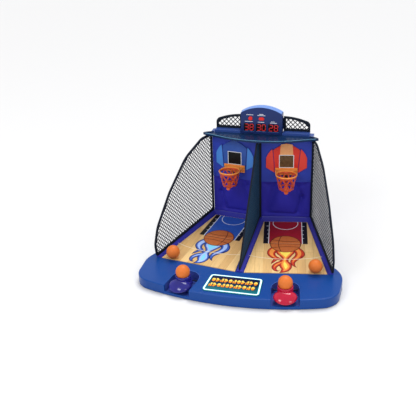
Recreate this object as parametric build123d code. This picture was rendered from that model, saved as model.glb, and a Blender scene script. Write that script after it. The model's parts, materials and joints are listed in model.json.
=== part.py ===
from build123d import *
import os
from math import atan, cos, degrees, pi, radians, sin, sqrt, tan

os.makedirs("parts", exist_ok=True)

# Tabletop basketball machine for two players, in millimetres.
# The origin is on the table, under the middle of the machine; the players stand at -Y.

# Driving dimensions
BALL_R = 14.0                  # game ball radius
FIT = 0.3                      # gap between faces of separate pieces
WALL = 2.4                     # moulded shell wall
FOOT = 1.4                     # height of the rubber feet
RIM_Z = 1.2                    # lower rim of the base shell
DECK_Z = 21.0                  # front deck of the base
FRONT_Y = -171.5               # middle of the bowed front edge
REAR_Y = 171.5                 # rear edge of the base
EAR_X = 202.0                  # half width of the base at its ears
LANE_SPLAY = 9.16              # degrees each lane turns outwards
LANE_X, LANE_Y = 90.1, -65.1   # middle of the right court's front edge
COURT_FRONT = 82.2             # half width of a court at the player's end
COURT_REAR = 48.3              # half width of a court under the hoop
COURT_LEN = 203.8
COURT_T = 2.4                  # printed board
COURT_Z0, COURT_Z1 = 22.0, 36.0      # court surface at the front and at the rear
TRIM_Z0, TRIM_Z1 = 24.0, 45.5        # top of the lane trim, front and rear
WALL_V = 208.2                 # lane distance to the face of the back wall
PANEL_Z0, PANEL_Z1 = 131.0, 228.0    # rigid back panel
PANEL_T = 2.5
PANEL_U = (-55.3, 53.4)        # inner and outer edge of the back wall across its lane
CURTAIN_T = 3.0
HOOP_V = WALL_V - 32.4         # lane distance to the hoop's centre
HOOP_Z = 160.7
RING_R, RING_T = 22.1, 1.5     # hoop: radius to the wire's middle, and the wire's radius
BASKET_Z = 128.0               # lower edge of the basket
BASKET_R = 15.9                # basket radius at its lower edge
NET_REAR = (112.0, 149.5)      # foot of a side net's rear upright
NET_FRONT = (182.0, -52.5)     # front foot of a side net
NET_ROD_R = 2.0
DIVIDER_R = 1.7
HEADER_Z0, HEADER_Z1 = 229.0, 240.0
HOOD_Z = 233.0
BOARD_Z0 = 235.0               # scoreboard
BOARD_HALF = 45.0
BOARD_FACE_Y, BOARD_REAR_Y = 146.5, 168.5
LEVER_V, LEVER_Z = -42.0, 9.5  # launcher axle
CUP_V, CUP_Z = -66.0, 40.2     # centre of a ball that sits on a launcher
SILL_Z = 6.6                   # front sill of a launcher recess
PADDLE_V, PADDLE_Z = 201.5, 141.0    # scoring paddle's pin
COURT_BALL_Z = 36.6            # middle of a ball that rests on a court
COURT_BALL_RIGHT = (59.0, 4.8)       # lane position of the right court's ball
COURT_BALL_LEFT = (58.3, 6.2)        # and of the left one, measured outwards in its own lane

POST_V = 217.3                 # lane distance to the rear posts' middles
POST_TOP = 232.4
COURT_SLOPE = degrees(atan((COURT_Z1 - COURT_Z0) / COURT_LEN))
TRIM_RISE = (TRIM_Z1 - TRIM_Z0) / WALL_V
LANE = Location((LANE_X, LANE_Y, 0), (0, 0, LANE_SPLAY))
BOTTOM = (Align.CENTER, Align.CENTER, Align.MIN)


def save(name, shape):
    """Write one node."""
    export_step(shape, "parts/" + name + ".step")


def save_pair(name, shape):
    """Write the right-hand piece and its mirror image."""
    save(name + "_right", shape)
    save(name + "_left", mirror(shape, about=Plane.YZ))


def both(shape):
    """The right-hand piece and its mirror image, in one node."""
    return Compound(children=[shape, mirror(shape, about=Plane.YZ)])


def group(solids):
    """Several equal pieces in one node."""
    return Compound(children=list(solids))


def span_box(x, y, z):
    """Box between two values on each axis."""
    size = Box(x[1] - x[0], y[1] - y[0], z[1] - z[0])
    return Pos((x[0] + x[1]) / 2, (y[0] + y[1]) / 2, (z[0] + z[1]) / 2) * size


def rod(start, end, radius):
    """Round bar between two points."""
    start, end = Vector(*start), Vector(*end)
    axis = end - start
    return extrude(Plane(origin=start, z_dir=axis) * Circle(radius), axis.length)


def lane_point(u, v):
    """World x, y of a point u across and v along the right lane."""
    c, s = cos(radians(LANE_SPLAY)), sin(radians(LANE_SPLAY))
    return (LANE_X + u * c - v * s, LANE_Y + u * s + v * c)


def side_profile(points, half_width):
    """Solid with a given outline in the lane's (v, z) plane, as wide as stated."""
    face = make_face(Polyline(*[(0, v, z) for v, z in points], close=True))
    return extrude(face, half_width, both=True)


def bent_loop(plane, corners, radii, radius):
    """Closed bent rod in a plane."""
    path = plane * FilletPolyline(*corners, radius=radii, close=True)
    section = Plane(origin=path @ 0, z_dir=path % 0) * Circle(radius)
    return sweep(section, path=path)


# Plan of the base: bowed front, rounded ears, straight sides along the nets.
NET_RUN = Vector(NET_FRONT[0] - NET_REAR[0], NET_FRONT[1] - NET_REAR[1], 0)
NET_DIR = NET_RUN.normalized()
NET_OUT = Vector(-NET_DIR.Y, NET_DIR.X, 0)


def net_line(s, outward):
    """World x, y at distance s in front of the rear upright, moved outwards."""
    base = Vector(NET_REAR[0], NET_REAR[1], 0) + NET_DIR * s + NET_OUT * outward
    return (base.X, base.Y)


def base_outline():
    corner_r = (173.0, -143.5)
    rear_side = net_line(-1.0, 2.6)
    ear_side = net_line(180.0, 2.6)
    edges = [
        ThreePointArc((-corner_r[0], corner_r[1]), (0, FRONT_Y), corner_r),
        ThreePointArc(corner_r, (193.5, -127.5), (EAR_X - 1, -104.0)),
        Line((EAR_X - 1, -104.0), (EAR_X, -74.0)),
        ThreePointArc((EAR_X, -74.0), (197.0, -44.0), (183.0, -25.0)),
        Line((183.0, -25.0), ear_side),
        Line(ear_side, rear_side),
        Line(rear_side, (rear_side[0], REAR_Y)),
    ]
    right = Curve() + edges[1:]
    left = mirror(right, about=Plane.YZ)
    back = Line((rear_side[0], REAR_Y), (-rear_side[0], REAR_Y))
    return make_face(Curve() + edges[0] + right + left + back)


OUTLINE = base_outline()
INNER = offset(OUTLINE, -WALL, kind=Kind.INTERSECTION)


def above_lane(drop):
    """Everything above the deck and the sloping court bed, lowered by drop."""
    far = 300.0
    bed = COURT_Z0 - COURT_T
    rise = far * tan(radians(COURT_SLOPE))
    outline = [(-far, DECK_Z - drop), (0, DECK_Z - drop), (0, bed - drop),
               (far, bed + rise - drop), (far, 150), (-far, 150)]
    right = LANE * side_profile(outline, 260)
    right = right & span_box((0, 300), (-300, 300), (-10, 200))
    return right + mirror(right, about=Plane.YZ)


def recess_plan(grow):
    """Plan of a launcher recess: straight sides and an arched rear."""
    half = 27.0 + grow
    arch = Pos(0, -55.0) * Circle(half)
    return arch + Pos(0, -55.0 - 40.0) * Rectangle(2 * half, 80.0)


def on_lane(face, z0, z1):
    """Extrude a lane plan between two heights and put it on the right lane."""
    return LANE * extrude(Pos(0, 0, z0) * face, z1 - z0)


POST_R = 4.0
POST_X, POST_Y = lane_point(50.0, POST_V)
POSTS = [(POST_X, POST_Y), (-POST_X, POST_Y), (0, 140.5)]
BOSSES = [(-150, -100), (150, -100), (-40, -150), (40, -150), (-95, 30), (95, 30), (-70, 150), (70, 150)]
FEET = [(-165, -95), (165, -95), (-60, -148), (60, -148), (-95, 120), (95, 120)]
BATTERY_Y = 45.0
BATTERY_PITCH = 15.2
BAY = (57.0, 3 * BATTERY_PITCH + 1.0)


def make_base():
    deck = extrude(Pos(0, 0, RIM_Z) * OUTLINE, DECK_Z - RIM_Z)
    deck = fillet(deck.edges().group_by(Axis.Z)[-1], 2.5)
    lane_zone = LANE * span_box((-300, 300), (0, 400), (RIM_Z, 60))
    lane_zone = lane_zone & span_box((0, 300), (-300, 300), (-10, 200))
    lane_zone = lane_zone + mirror(lane_zone, about=Plane.YZ)
    block = extrude(Pos(0, 0, RIM_Z) * OUTLINE, 60.0) & lane_zone
    shell = (deck + block) - above_lane(0)
    hollow = extrude(INNER, 60.0) - above_lane(WALL)
    full = shell
    shell = shell - hollow
    for x, y in BOSSES:
        post = Pos(x, y, 3.7) * Cylinder(3.6, 60, align=BOTTOM)
        shell = shell + (post & full)
    for x, y in POSTS:
        post = Pos(x, y, 3.7) * Cylinder(POST_R + 2.4, 60, align=BOTTOM)
        shell = shell + (post & full)
    tub = on_lane(recess_plan(2.0), RIM_Z, DECK_Z) & full
    shell = shell + tub + mirror(tub, about=Plane.YZ)
    low = on_lane(recess_plan(0), RIM_Z + 2, SILL_Z + 0.2) & extrude(INNER, 30)
    high = on_lane(recess_plan(0), SILL_Z, 40)
    axle = LANE * (Pos(0, LEVER_V, LEVER_Z) * Rot(0, 90, 0) * Cylinder(1.5, 52))
    cut = low + high + axle
    shell = shell - cut - mirror(cut, about=Plane.YZ)
    for x, y in BOSSES:
        shell = shell - Pos(x, y, 0) * Cylinder(1.45, 14, align=BOTTOM)
    for x, y in POSTS:
        shell = shell - Pos(x, y, 6) * Cylinder(POST_R + 0.05, 60, align=BOTTOM)
    slot = span_box((55, 65), (REAR_Y - 5, REAR_Y + 2), (12, 16.4))
    return shell - slot


def make_base_plate():
    plate = extrude(Pos(0, 0, FOOT) * offset(OUTLINE, -WALL - FIT, kind=Kind.INTERSECTION), 2.0)
    tub = on_lane(recess_plan(2.4), 0, 10)
    plate = plate - tub - mirror(tub, about=Plane.YZ)
    plate = plate - Pos(0, BATTERY_Y, 0) * Box(BAY[0], BAY[1], 20)
    for x, y in BOSSES + [(0, BATTERY_Y + BAY[1] / 2 + 4.6)]:
        plate = plate - Pos(x, y, 0) * Cylinder(1.6, 6, align=BOTTOM)
    return plate


def screw(length, shank_r, head_r, head_h):
    """Pan-head screw with its shank up +Z from the head's upper face."""
    head = Cylinder(head_r, head_h, align=(Align.CENTER, Align.CENTER, Align.MAX))
    head = fillet(head.edges().sort_by(Axis.Z)[0], head_h * 0.45)
    slot = Pos(0, 0, -head_h) * Box(head_r * 1.3, 0.7, 0.8)
    cross = Pos(0, 0, -head_h) * Box(0.7, head_r * 1.3, 0.8)
    return head + Cylinder(shank_r, length, align=BOTTOM) - slot - cross


def make_battery_parts():
    inner = Pos(0, BATTERY_Y, 3.4) * Box(BAY[0], BAY[1], 16.6, align=BOTTOM)
    outer = Pos(0, BATTERY_Y, 3.5) * Box(BAY[0] + 3.2, BAY[1] + 3.2, 18.0, align=BOTTOM)
    lug = Pos(0, BATTERY_Y + BAY[1] / 2 + 4.6, 3.5) * Cylinder(3.4, 9, align=BOTTOM)
    hole = Pos(0, BATTERY_Y + BAY[1] / 2 + 4.6, 3.4) * Cylinder(1.45, 8, align=BOTTOM)
    save("battery_box", outer + lug - inner - hole)
    door = Pos(0, BATTERY_Y, FOOT) * Box(BAY[0] - 0.6, BAY[1] - 0.6, 1.8, align=BOTTOM)
    for i in range(7):
        groove = Pos(-12 + i * 4, BATTERY_Y - 12, FOOT) * Box(1.2, 12, 0.8)
        door = door - groove
    save("battery_door", door)
    cells = []
    contacts = []
    for i in (-1, 0, 1):
        y = BATTERY_Y + i * BATTERY_PITCH
        turn = 90 if i % 2 else -90
        cell = Cylinder(7.1, 47.6) + Pos(0, 0, 24.6) * Cylinder(2.6, 1.8)
        cells.append(Pos(0, y, 11.2) * Rot(0, turn, 0) * cell)
        for side in (-1, 1):
            plate = Pos(side * 27.9, y, 11.2) * Box(0.5, 12, 12)
            contacts.append(plate)
    save("battery_cells", group(cells))
    save("battery_contacts", group(contacts))


def court_plan(grow_side, grow_rear, front):
    """Court outline in lane axes, widened at its sides and rear, starting at v = front."""
    slope = (COURT_FRONT - COURT_REAR) / COURT_LEN
    half = COURT_FRONT - slope * front + grow_side
    rear = COURT_REAR - slope * grow_rear + grow_side
    v = COURT_LEN + grow_rear
    return [(-half, front), (half, front), (rear, v), (-rear, v)]


def make_court():
    face = make_face(Polyline(*court_plan(-0.2, -0.2, 0.3), close=True))
    board = extrude(face, 120)
    top = COURT_Z0 + 300 * tan(radians(COURT_SLOPE))
    bed = [(-1, COURT_Z0 - COURT_T), (300, top - COURT_T), (300, top), (-1, COURT_Z0)]
    lift = Pos(0, 0, 0.05)
    return LANE * (board & (lift * side_profile(bed, 200)))


def line_cross(p, q, r, t):
    """Where line pq meets line rt in plan."""
    d1 = (q[0] - p[0], q[1] - p[1])
    d2 = (t[0] - r[0], t[1] - r[1])
    k = ((r[0] - p[0]) * d2[1] - (r[1] - p[1]) * d2[0]) / (d1[0] * d2[1] - d1[1] * d2[0])
    return (p[0] + k * d1[0], p[1] + k * d1[1])


TRIM_REAR_V = 212.6


def make_trim():
    """Sloping surround between a court, its side net, the divider and the back wall."""
    outer = (net_line(0, 2.2), net_line(100, 2.2))
    middle = ((0.2, 0), (0.2, 10))
    front = (lane_point(0, 0.3), lane_point(10, 0.3))
    rear = (lane_point(0, TRIM_REAR_V), lane_point(10, TRIM_REAR_V))
    plan = [line_cross(*middle, *front), line_cross(*outer, *front),
            line_cross(*outer, *rear), line_cross(*middle, *rear)]
    block = extrude(make_face(Polyline(*plan, close=True)), 80)
    far = 300.0
    bed = COURT_Z0 - COURT_T + 0.05
    shape = [(-5, bed - 5 * tan(radians(COURT_SLOPE))), (far, bed + far * tan(radians(COURT_SLOPE))),
             (far, TRIM_Z0 + far * TRIM_RISE), (-5, TRIM_Z0 - 5 * TRIM_RISE)]
    block = block & (LANE * side_profile(shape, 200))

    def ring(points, height):
        return make_face(Polyline(*[(u, v, height(v)) for u, v in points], close=True))

    def court_level(v):
        return COURT_Z0 - COURT_T + v * tan(radians(COURT_SLOPE)) - 1.0

    def top_level(v):
        return TRIM_Z0 + v * TRIM_RISE + 1.0

    low = ring(court_plan(0.15, 0.15, -8.0), court_level)
    high = ring(court_plan(5.6, 3.4, -8.0), top_level)
    pocket = LANE * loft([low, high], ruled=True)
    return block - pocket


def make_back_panel():
    half_in, half_out = PANEL_U
    panel = span_box((half_in, half_out), (WALL_V, WALL_V + PANEL_T), (PANEL_Z0, PANEL_Z1))
    slot = span_box((-3.2, 3.2), (WALL_V - 1, WALL_V + 4), (137.5, 148.5))
    panel = panel - slot
    for z in PANEL_SCREW_Z:
        pad = Pos(50, WALL_V + PANEL_T, z) * Rot(-90, 0, 0) * Cylinder(2.6, 2.4, align=BOTTOM)
        panel = panel + pad
        panel = panel - Pos(50, WALL_V, z) * Rot(90, 0, 0) * Cylinder(1.6, 12)
    return LANE * panel


PANEL_SCREW_Z = (136.0, 180.0, 222.0)


def make_posts():
    posts = []
    for i, (x, y) in enumerate(POSTS):
        post = Pos(x, y, 6.2) * Cylinder(POST_R, POST_TOP - 6.2, align=BOTTOM)
        post = post - Pos(x, y, 6.2) * Cylinder(POST_R - 1.0, POST_TOP, align=BOTTOM)
        posts.append(post)
    for z in PANEL_SCREW_Z:
        hole = LANE * (Pos(50, POST_V - 4, z) * Rot(90, 0, 0) * Cylinder(1.3, 5))
        posts[0] = posts[0] - hole
    posts[1] = mirror(posts[0], about=Plane.YZ)
    return group(posts)


def make_panel_screws():
    screws = []
    for z in PANEL_SCREW_Z:
        one = LANE * (Pos(50, WALL_V, z) * Rot(-90, 0, 0) * screw(8.0, 1.25, 2.6, 1.4))
        screws.append(one)
        screws.append(mirror(one, about=Plane.YZ))
    return group(screws)


def make_backboard():
    shape = Curve() + [
        ThreePointArc((-44, 187), (-29.5, 204), (0, 220)),
        ThreePointArc((0, 220), (29.5, 204), (44, 187)),
        Line((44, 187), (44, 165)),
        Line((44, 165), (26, 154)),
        Line((26, 154), (-26, 154)),
        Line((-26, 154), (-44, 165)),
        Line((-44, 165), (-44, 187)),
    ]
    face = Plane(origin=(0, WALL_V - 0.1, 0), x_dir=(1, 0, 0), z_dir=(0, -1, 0)) * make_face(shape)
    board = extrude(face, 2.4)
    window = span_box((-14.8, 14.8), (WALL_V - 4, WALL_V - 1.9), (166.2, 193.3))
    return LANE * (board - window)


def make_hoop():
    """Ring, arm and wall plate in one moulding, with two ears for the paddle's pin."""
    front = WALL_V - 5.2
    ring = Pos(0, HOOP_V, HOOP_Z) * Torus(RING_R, RING_T)
    plan = make_face(Polyline((-14, HOOP_V + 12), (14, HOOP_V + 12), (24, front + 1),
                              (-24, front + 1), close=True))
    arm = extrude(Pos(0, 0, HOOP_Z - 1.6) * plan, 3.6)
    arm = arm - Pos(0, HOOP_V, HOOP_Z) * Cylinder(RING_R, 20)
    plate = span_box((-24, 24), (front, front + 2.4), (149, 165))
    hoop = ring + arm + plate
    rib = [(front - 9, HOOP_Z - 1), (front + 1, HOOP_Z - 1), (front + 1, 149)]
    for u in (-20, 20):
        hoop = hoop + Pos(u, 0, 0) * side_profile(rib, 1.0)
    for u in (-4.6, 4.6):
        ear = Pos(u, PADDLE_V, PADDLE_Z) * Rot(0, 90, 0) * Cylinder(3.4, 2)
        web = span_box((u - 1, u + 1), (PADDLE_V, front + 2.4), (PADDLE_Z - 3.4, 150))
        hoop = hoop + ear + web
    pin = Pos(0, PADDLE_V, PADDLE_Z) * Rot(0, 90, 0) * Cylinder(1.0, 20)
    return LANE * (hoop - pin)


def make_basket():
    """Plastic net: two sets of slanted strips between an upper and a lower ring."""
    strips = 8
    top_z = HOOP_Z - RING_T - 1.3
    top_r = RING_R - 0.6
    basket = Pos(0, HOOP_V, top_z) * Torus(top_r, 1.1)
    for i in range(strips):
        a = 2 * pi * (i + 0.5) / strips
        start = (top_r * sin(a), HOOP_V + top_r * cos(a), top_z)
        for twist in (-1, 1):
            b = a + twist * 2 * pi / strips
            end = (BASKET_R * sin(b), HOOP_V + BASKET_R * cos(b), BASKET_Z)
            basket = basket + rod(start, end, 1.15)
    for i in range(strips):
        a = 2 * pi * (i + 0.5) / strips
        basket = basket + Pos(BASKET_R * sin(a), HOOP_V + BASKET_R * cos(a), BASKET_Z) * Sphere(1.5)
    return LANE * basket


def make_paddle():
    """Scoring paddle: hub on the pin, arm under the basket, tongue that the ball strikes, tail."""
    hub = Pos(-1.1, PADDLE_V, PADDLE_Z) * Rot(0, 90, 0) * Cylinder(2.9, 4.0)
    arm = [(200.0, 143.2), (196.4, 132.2), (178.0, 129.4), (170.5, 129.0), (170.5, 126.4),
           (178.0, 126.2), (199.0, 129.4), (203.2, 138.8)]
    tail = [(PADDLE_V, PADDLE_Z - 1), (PADDLE_V, PADDLE_Z + 1.8), (213.5, PADDLE_Z + 1.8),
            (213.5, PADDLE_Z - 1)]
    paddle = hub + Pos(-1.1, 0, 0) * side_profile(arm, 2.0) + Pos(-1.1, 0, 0) * side_profile(tail, 2.0)
    tilt = Plane(origin=(0, 171.0, 128.0), x_dir=(1, 0, 0), z_dir=(0, -0.78, 0.63))
    tongue = Pos(0, -6.0) * Circle(4.6) + Pos(0, 1.5) * Rectangle(6.4, 15)
    plate = extrude(tilt * tongue, 1.1, both=True)
    paddle = paddle + plate
    bore = Pos(0, PADDLE_V, PADDLE_Z) * Rot(0, 90, 0) * Cylinder(1.05, 20)
    return LANE * (paddle - bore)


def coil(radius, wire, turns, pitch):
    """Close-wound torsion spring along +Z, standing on z = 0."""
    path = Helix(pitch=pitch, height=turns * pitch, radius=radius)
    section = Plane(origin=path @ 0, z_dir=path % 0) * Circle(wire)
    return sweep(section, path=path, is_frenet=True)


def make_score_switch():
    body = span_box((-4, 4), (WALL_V + 2.9, WALL_V + 8.5), (149.5, 158))
    leaf = span_box((-2, 2), (WALL_V + 2.9, WALL_V + 8.5), (146.3, 146.7))
    tab = span_box((-2, 2), (WALL_V + 7.9, WALL_V + 8.5), (146.5, 150))
    return LANE * (body + leaf + tab)


def make_switch_cover():
    outer = span_box((-10, 10), (WALL_V + 2.8, WALL_V + 12), (134, 164))
    outer = fillet(outer.edges().filter_by(Axis.Z), 2)
    inner = span_box((-8.4, 8.4), (WALL_V, WALL_V + 10.4), (135.6, 162.4))
    return LANE * (outer - inner)


def make_header():
    """Beam across the top, with a front ledge for the hood and a seat for the scoreboard."""
    ledge = span_box((-111.5, 111.5), (136, 150), (HEADER_Z0, HOOD_Z - 0.2))
    beam = span_box((-111.5, 111.5), (BOARD_FACE_Y, 170), (HEADER_Z0, BOARD_Z0 - 0.1))
    header = ledge + beam
    for side in (-1, 1):
        header = header + span_box(sorted((side * 46, side * 103)), (BOARD_FACE_Y, 170),
                                   (HEADER_Z0, HEADER_Z1))
    under = span_box((-109, 109), (149, 167.6), (HEADER_Z0 - 1, BOARD_Z0 - 2.5))
    raised = span_box((48, 101), (149, 167.6), (HEADER_Z0 - 1, HEADER_Z1 - 2))
    header = header - under - raised - mirror(raised, about=Plane.YZ)
    for x, y in POSTS:
        socket = Pos(x, y, HEADER_Z0) * Cylinder(POST_R + 2.2, 3.7, align=BOTTOM)
        header = header + socket
    for x, y in POSTS:
        bore = Pos(x, y, HEADER_Z0 - 1) * Cylinder(POST_R + 0.05, POST_TOP + 0.05 - HEADER_Z0 + 1, align=BOTTOM)
        header = header - bore
    return header


def hood_outline():
    edges = [
        ThreePointArc((-77, 111.5), (0, 96.5), (77, 111.5)),
        Line((77, 111.5), (105, 123.5)),
        ThreePointArc((105, 123.5), (118, 129.0), (125, 132.5)),
        ThreePointArc((125, 132.5), (120, 138.5), (112, 142.0)),
        Line((112, 142.0), (104, 146.2)),
    ]
    right = Curve() + edges[1:]
    left = mirror(right, about=Plane.YZ)
    back = Line((104, 146.2), (-104, 146.2))
    return make_face(Curve() + edges[0] + right + left + back)


def make_hood():
    """Visor plate with a raised lip."""
    outline = hood_outline()
    plate = extrude(Pos(0, 0, HOOD_Z) * outline, 2.0)
    lip = extrude(Pos(0, 0, HOOD_Z - 1.0) * outline, 5.0)
    core = extrude(Pos(0, 0, HOOD_Z - 3.0) * offset(outline, -2.0, kind=Kind.INTERSECTION), 10.0)
    lip = lip - core
    rear = span_box((-130, 130), (135.5, 150), (HOOD_Z - 3, HOOD_Z)) \
        + span_box((-104.5, 104.5), (143.5, 150), (HOOD_Z + 2, HOOD_Z + 8))
    return plate + lip - rear


BOARD_CORNER_Z, BOARD_TOP_Z = 281.0, 294.0
WINDOW_X = (-26.6, 0.0, 26.6)
WINDOW_W, WINDOW_H = 22.6, 17.6
WINDOW_Z = 249.2
BUTTONS = {"game_button": (-23.0, 269.0), "start_button": (1.0, 269.0)}


def board_face(grow):
    """Scoreboard outline in (x, z), arched at the top."""
    half = BOARD_HALF + grow
    low = BOARD_Z0 - min(grow, 0) * 1.0
    shape = Curve() + [
        Line((-half, low), (half, low)),
        Line((half, low), (half, BOARD_CORNER_Z + grow)),
        ThreePointArc((half, BOARD_CORNER_Z + grow), (0, BOARD_TOP_Z + grow), (-half, BOARD_CORNER_Z + grow)),
        Line((-half, BOARD_CORNER_Z + grow), (-half, low)),
    ]
    return make_face(shape)


def board_block(grow, y0, y1):
    plane = Plane(origin=(0, y0, 0), x_dir=(1, 0, 0), z_dir=(0, -1, 0))
    return extrude(plane * board_face(grow), -(y1 - y0))


def button_shape(name, grow, depth, y0):
    """Cap, hole or flange of a button, along +Y from y0."""
    x, z = BUTTONS[name]
    plane = Plane(origin=(x, y0, z), x_dir=(1, 0, 0), z_dir=(0, -1, 0))
    if name == "game_button":
        face = Circle(4.5 + grow)
    else:
        face = SlotOverall(12.0 + 2 * grow, 7.0 + 2 * grow)
    return extrude(plane * face, -depth)


def make_scoreboard():
    face_y, split_y = BOARD_FACE_Y, 160.0
    front = board_block(0, face_y, split_y)
    front = fillet(front.edges().filter_by(Axis.Y).sort_by(Axis.Z)[-2:], 6.0)
    front = fillet(front.edges().group_by(Axis.Y)[0], 1.5)
    front = front - board_block(-2.2, face_y + 2.0, split_y + 1)
    for x in WINDOW_X:
        front = front - span_box((x - WINDOW_W / 2, x + WINDOW_W / 2), (face_y - 1, face_y + 3),
                                 (WINDOW_Z - WINDOW_H / 2, WINDOW_Z + WINDOW_H / 2))
    for name in BUTTONS:
        front = front - button_shape(name, 0.15, 6, face_y - 2)
    save("scoreboard_front", front)
    back = board_block(0, split_y + 0.1, BOARD_REAR_Y)
    back = fillet(back.edges().group_by(Axis.Y)[-1], 3.0)
    back = back - board_block(-2.2, split_y, BOARD_REAR_Y - 2.2)
    for i in range(7):
        half = 12 * sqrt(1 - (i - 3) ** 2 / 16)
        z = 266 + (i - 3) * 3.4
        back = back - span_box((-half, half), (BOARD_REAR_Y - 4, BOARD_REAR_Y + 1), (z - 0.7, z + 0.7))
    for x, z in BOARD_SCREWS:
        boss = Pos(x, 161.0, z) * Rot(-90, 0, 0) * Cylinder(3.0, BOARD_REAR_Y - 162.0, align=BOTTOM)
        back = back + boss
        back = back - Pos(x, 150, z) * Rot(-90, 0, 0) * Cylinder(1.5, 30, align=BOTTOM)
    save("scoreboard_back", back)
    lens = span_box((-40.5, 40.5), (face_y + 2.1, face_y + 3.6), (238.5, 260.5))
    save("display_lens", lens)
    modules = []
    for x in WINDOW_X:
        block = span_box((x - 12, x + 12), (face_y + 4.0, face_y + 10.0), (240.2, 258.2))
        recess = span_box((x - 10.8, x + 10.8), (face_y + 3.0, face_y + 4.6), (241.4, 257.0))
        modules.append(block - recess)
    save("display_modules", group(modules))
    board = span_box((-41, 41), (face_y + 10.3, face_y + 11.9), (238.5, 279.0))
    for x, z in BOARD_SCREWS:
        board = board - Pos(x, 150, z) * Rot(-90, 0, 0) * Cylinder(3.4, 30, align=BOTTOM)
    chip = span_box((20, 30), (face_y + 11.9, face_y + 13.2), (262, 272))
    keys = [span_box((x - 3, x + 3), (face_y + 8.3, face_y + 10.3), (z - 3, z + 3))
            for x, z in BUTTONS.values()]
    save("scoreboard_circuit", board + chip + keys[0] + keys[1])
    speaker = Pos(0, BOARD_REAR_Y - 2.4, 266) * Rot(90, 0, 0) * Cylinder(13.5, 1.8, align=BOTTOM)
    magnet = Pos(0, BOARD_REAR_Y - 4.2, 266) * Rot(90, 0, 0) * Cylinder(7.0, 2.2, align=BOTTOM)
    save("speaker", speaker + magnet)
    screws = [Pos(x, BOARD_REAR_Y + 0.05, z) * Rot(90, 0, 0) * screw(6.0, 1.4, 2.5, 1.3)
              for x, z in BOARD_SCREWS]
    save("scoreboard_screws", group(screws))


BOARD_SCREWS = [(-36, 243), (36, 243), (-36, 276), (36, 276)]


def make_buttons():
    for name in BUTTONS:
        face_y = BOARD_FACE_Y
        cap = button_shape(name, 0, 5.4, face_y - 1.8)
        cap = fillet(cap.edges().group_by(Axis.Y)[0], 0.8)
        flange = button_shape(name, 1.0, 1.0, face_y + 2.2)
        x, z = BUTTONS[name]
        stem = Pos(x, face_y + 3.0, z) * Rot(-90, 0, 0) * Cylinder(1.6, 3.7, align=BOTTOM)
        save(name, cap + flange + stem)


WING_Y = 165.5
WING_X0, WING_X1 = 46.2, 103.0


def wing_face(inset):
    """Arched panel beside the scoreboard, in (x, z)."""
    low = HEADER_Z1 + 0.1 + inset
    x0, x1 = WING_X0 + inset, WING_X1 - inset
    shape = Curve() + [
        Line((x0, low), (x1, low)),
        Line((x1, low), (x1, 253 - inset * 0.3)),
        ThreePointArc((x1, 253 - inset * 0.3), (x1 - 3, 260 - inset), (x1 - 9, 263 - inset)),
        ThreePointArc((x1 - 9, 263 - inset), (72, 269 - inset), (x0, 271.5 - inset)),
        Line((x0, 271.5 - inset), (x0, low)),
    ]
    return make_face(shape)


def make_wings():
    plane = Plane(origin=(0, WING_Y + 2, 0), x_dir=(1, 0, 0), z_dir=(0, -1, 0))
    frame = extrude(plane * wing_face(0), 4.0) - extrude(plane * wing_face(3.6), 4.0)
    save("wing_frames", both(frame))
    sheet_plane = Plane(origin=(0, WING_Y + 0.4, 0), x_dir=(1, 0, 0), z_dir=(0, -1, 0))
    save("wing_meshes", both(extrude(sheet_plane * wing_face(3.7), 0.8)))


# Side net outline in (distance from the rear upright, height): upright, flat top, falling front.
NET_CORNERS = [(0, 47.9), (0, 229.0), (38, 229.0), (98, 204.5), (160, 147.0), (205, 88.0), (217, 52.0),
               (213.5, 25.8)]
NET_RADII = [3.5, 9.0, 40.0, 80.0, 110.0, 60.0, 30.0, 3.5]
NET_PLANE = Plane(origin=(NET_REAR[0], NET_REAR[1], 0), x_dir=NET_DIR, z_dir=-NET_OUT)


def make_side_net():
    save_pair("side_net_frame", bent_loop(NET_PLANE, NET_CORNERS, NET_RADII, NET_ROD_R))
    flat = make_face(FilletPolyline(*NET_CORNERS, radius=NET_RADII, close=True))
    flat = offset(flat, -NET_ROD_R - 0.15, kind=Kind.ARC)
    save_pair("side_net", extrude(NET_PLANE * flat, 0.4, both=True))


DIVIDER_CORNERS = [(-82.0, 25.9), (128.6, 47.5), (128.6, 229.0), (97.5, 229.0)]
DIVIDER_RADII = [3.5, 3.5, 6.0, 9.0]
DIVIDER_PLANE = Plane(origin=(0, 0, 0), x_dir=(0, 1, 0), z_dir=(1, 0, 0))


def make_divider():
    save("divider_frame", bent_loop(DIVIDER_PLANE, DIVIDER_CORNERS, DIVIDER_RADII, DIVIDER_R))
    flat = make_face(FilletPolyline(*DIVIDER_CORNERS, radius=DIVIDER_RADII, close=True))
    flat = offset(flat, -DIVIDER_R - 0.15, kind=Kind.ARC)
    save("divider_net", extrude(DIVIDER_PLANE * flat, 0.4, both=True))


def launcher_body(inset, drop):
    """Pear-shaped lever in lane axes: plan outline cut by its side profile."""
    plan = Pos(0, -78) * Circle(21.5 - inset)
    plan = plan + Pos(0, -62) * Rectangle(2 * (16.5 - inset), 32 - 2 * inset)
    plan = plan + Pos(0, -44) * Rectangle(2 * (9.8 - inset), 14)
    profile = Curve() + [
        Polyline((-38, 4 - drop), (-37.2, 13 - drop), (-42, 14.6 - drop), (-49, 22.5 - drop)),
        ThreePointArc((-49, 22.5 - drop), (-57, 25.6 - drop), (-66, 26.6 - drop)),
        ThreePointArc((-66, 26.6 - drop), (-89, 21.9 - drop), (-99.8, 12 - drop)),
        Polyline((-99.8, 12 - drop), (-60, 7.5 - drop), (-48, 4 - drop), (-38, 4 - drop)),
    ]
    plane = Plane(origin=(0, 0, 0), x_dir=(0, 1, 0), z_dir=(1, 0, 0))
    side = extrude(plane * make_face(profile), 40, both=True)
    return extrude(plan, 40) & side


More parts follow.
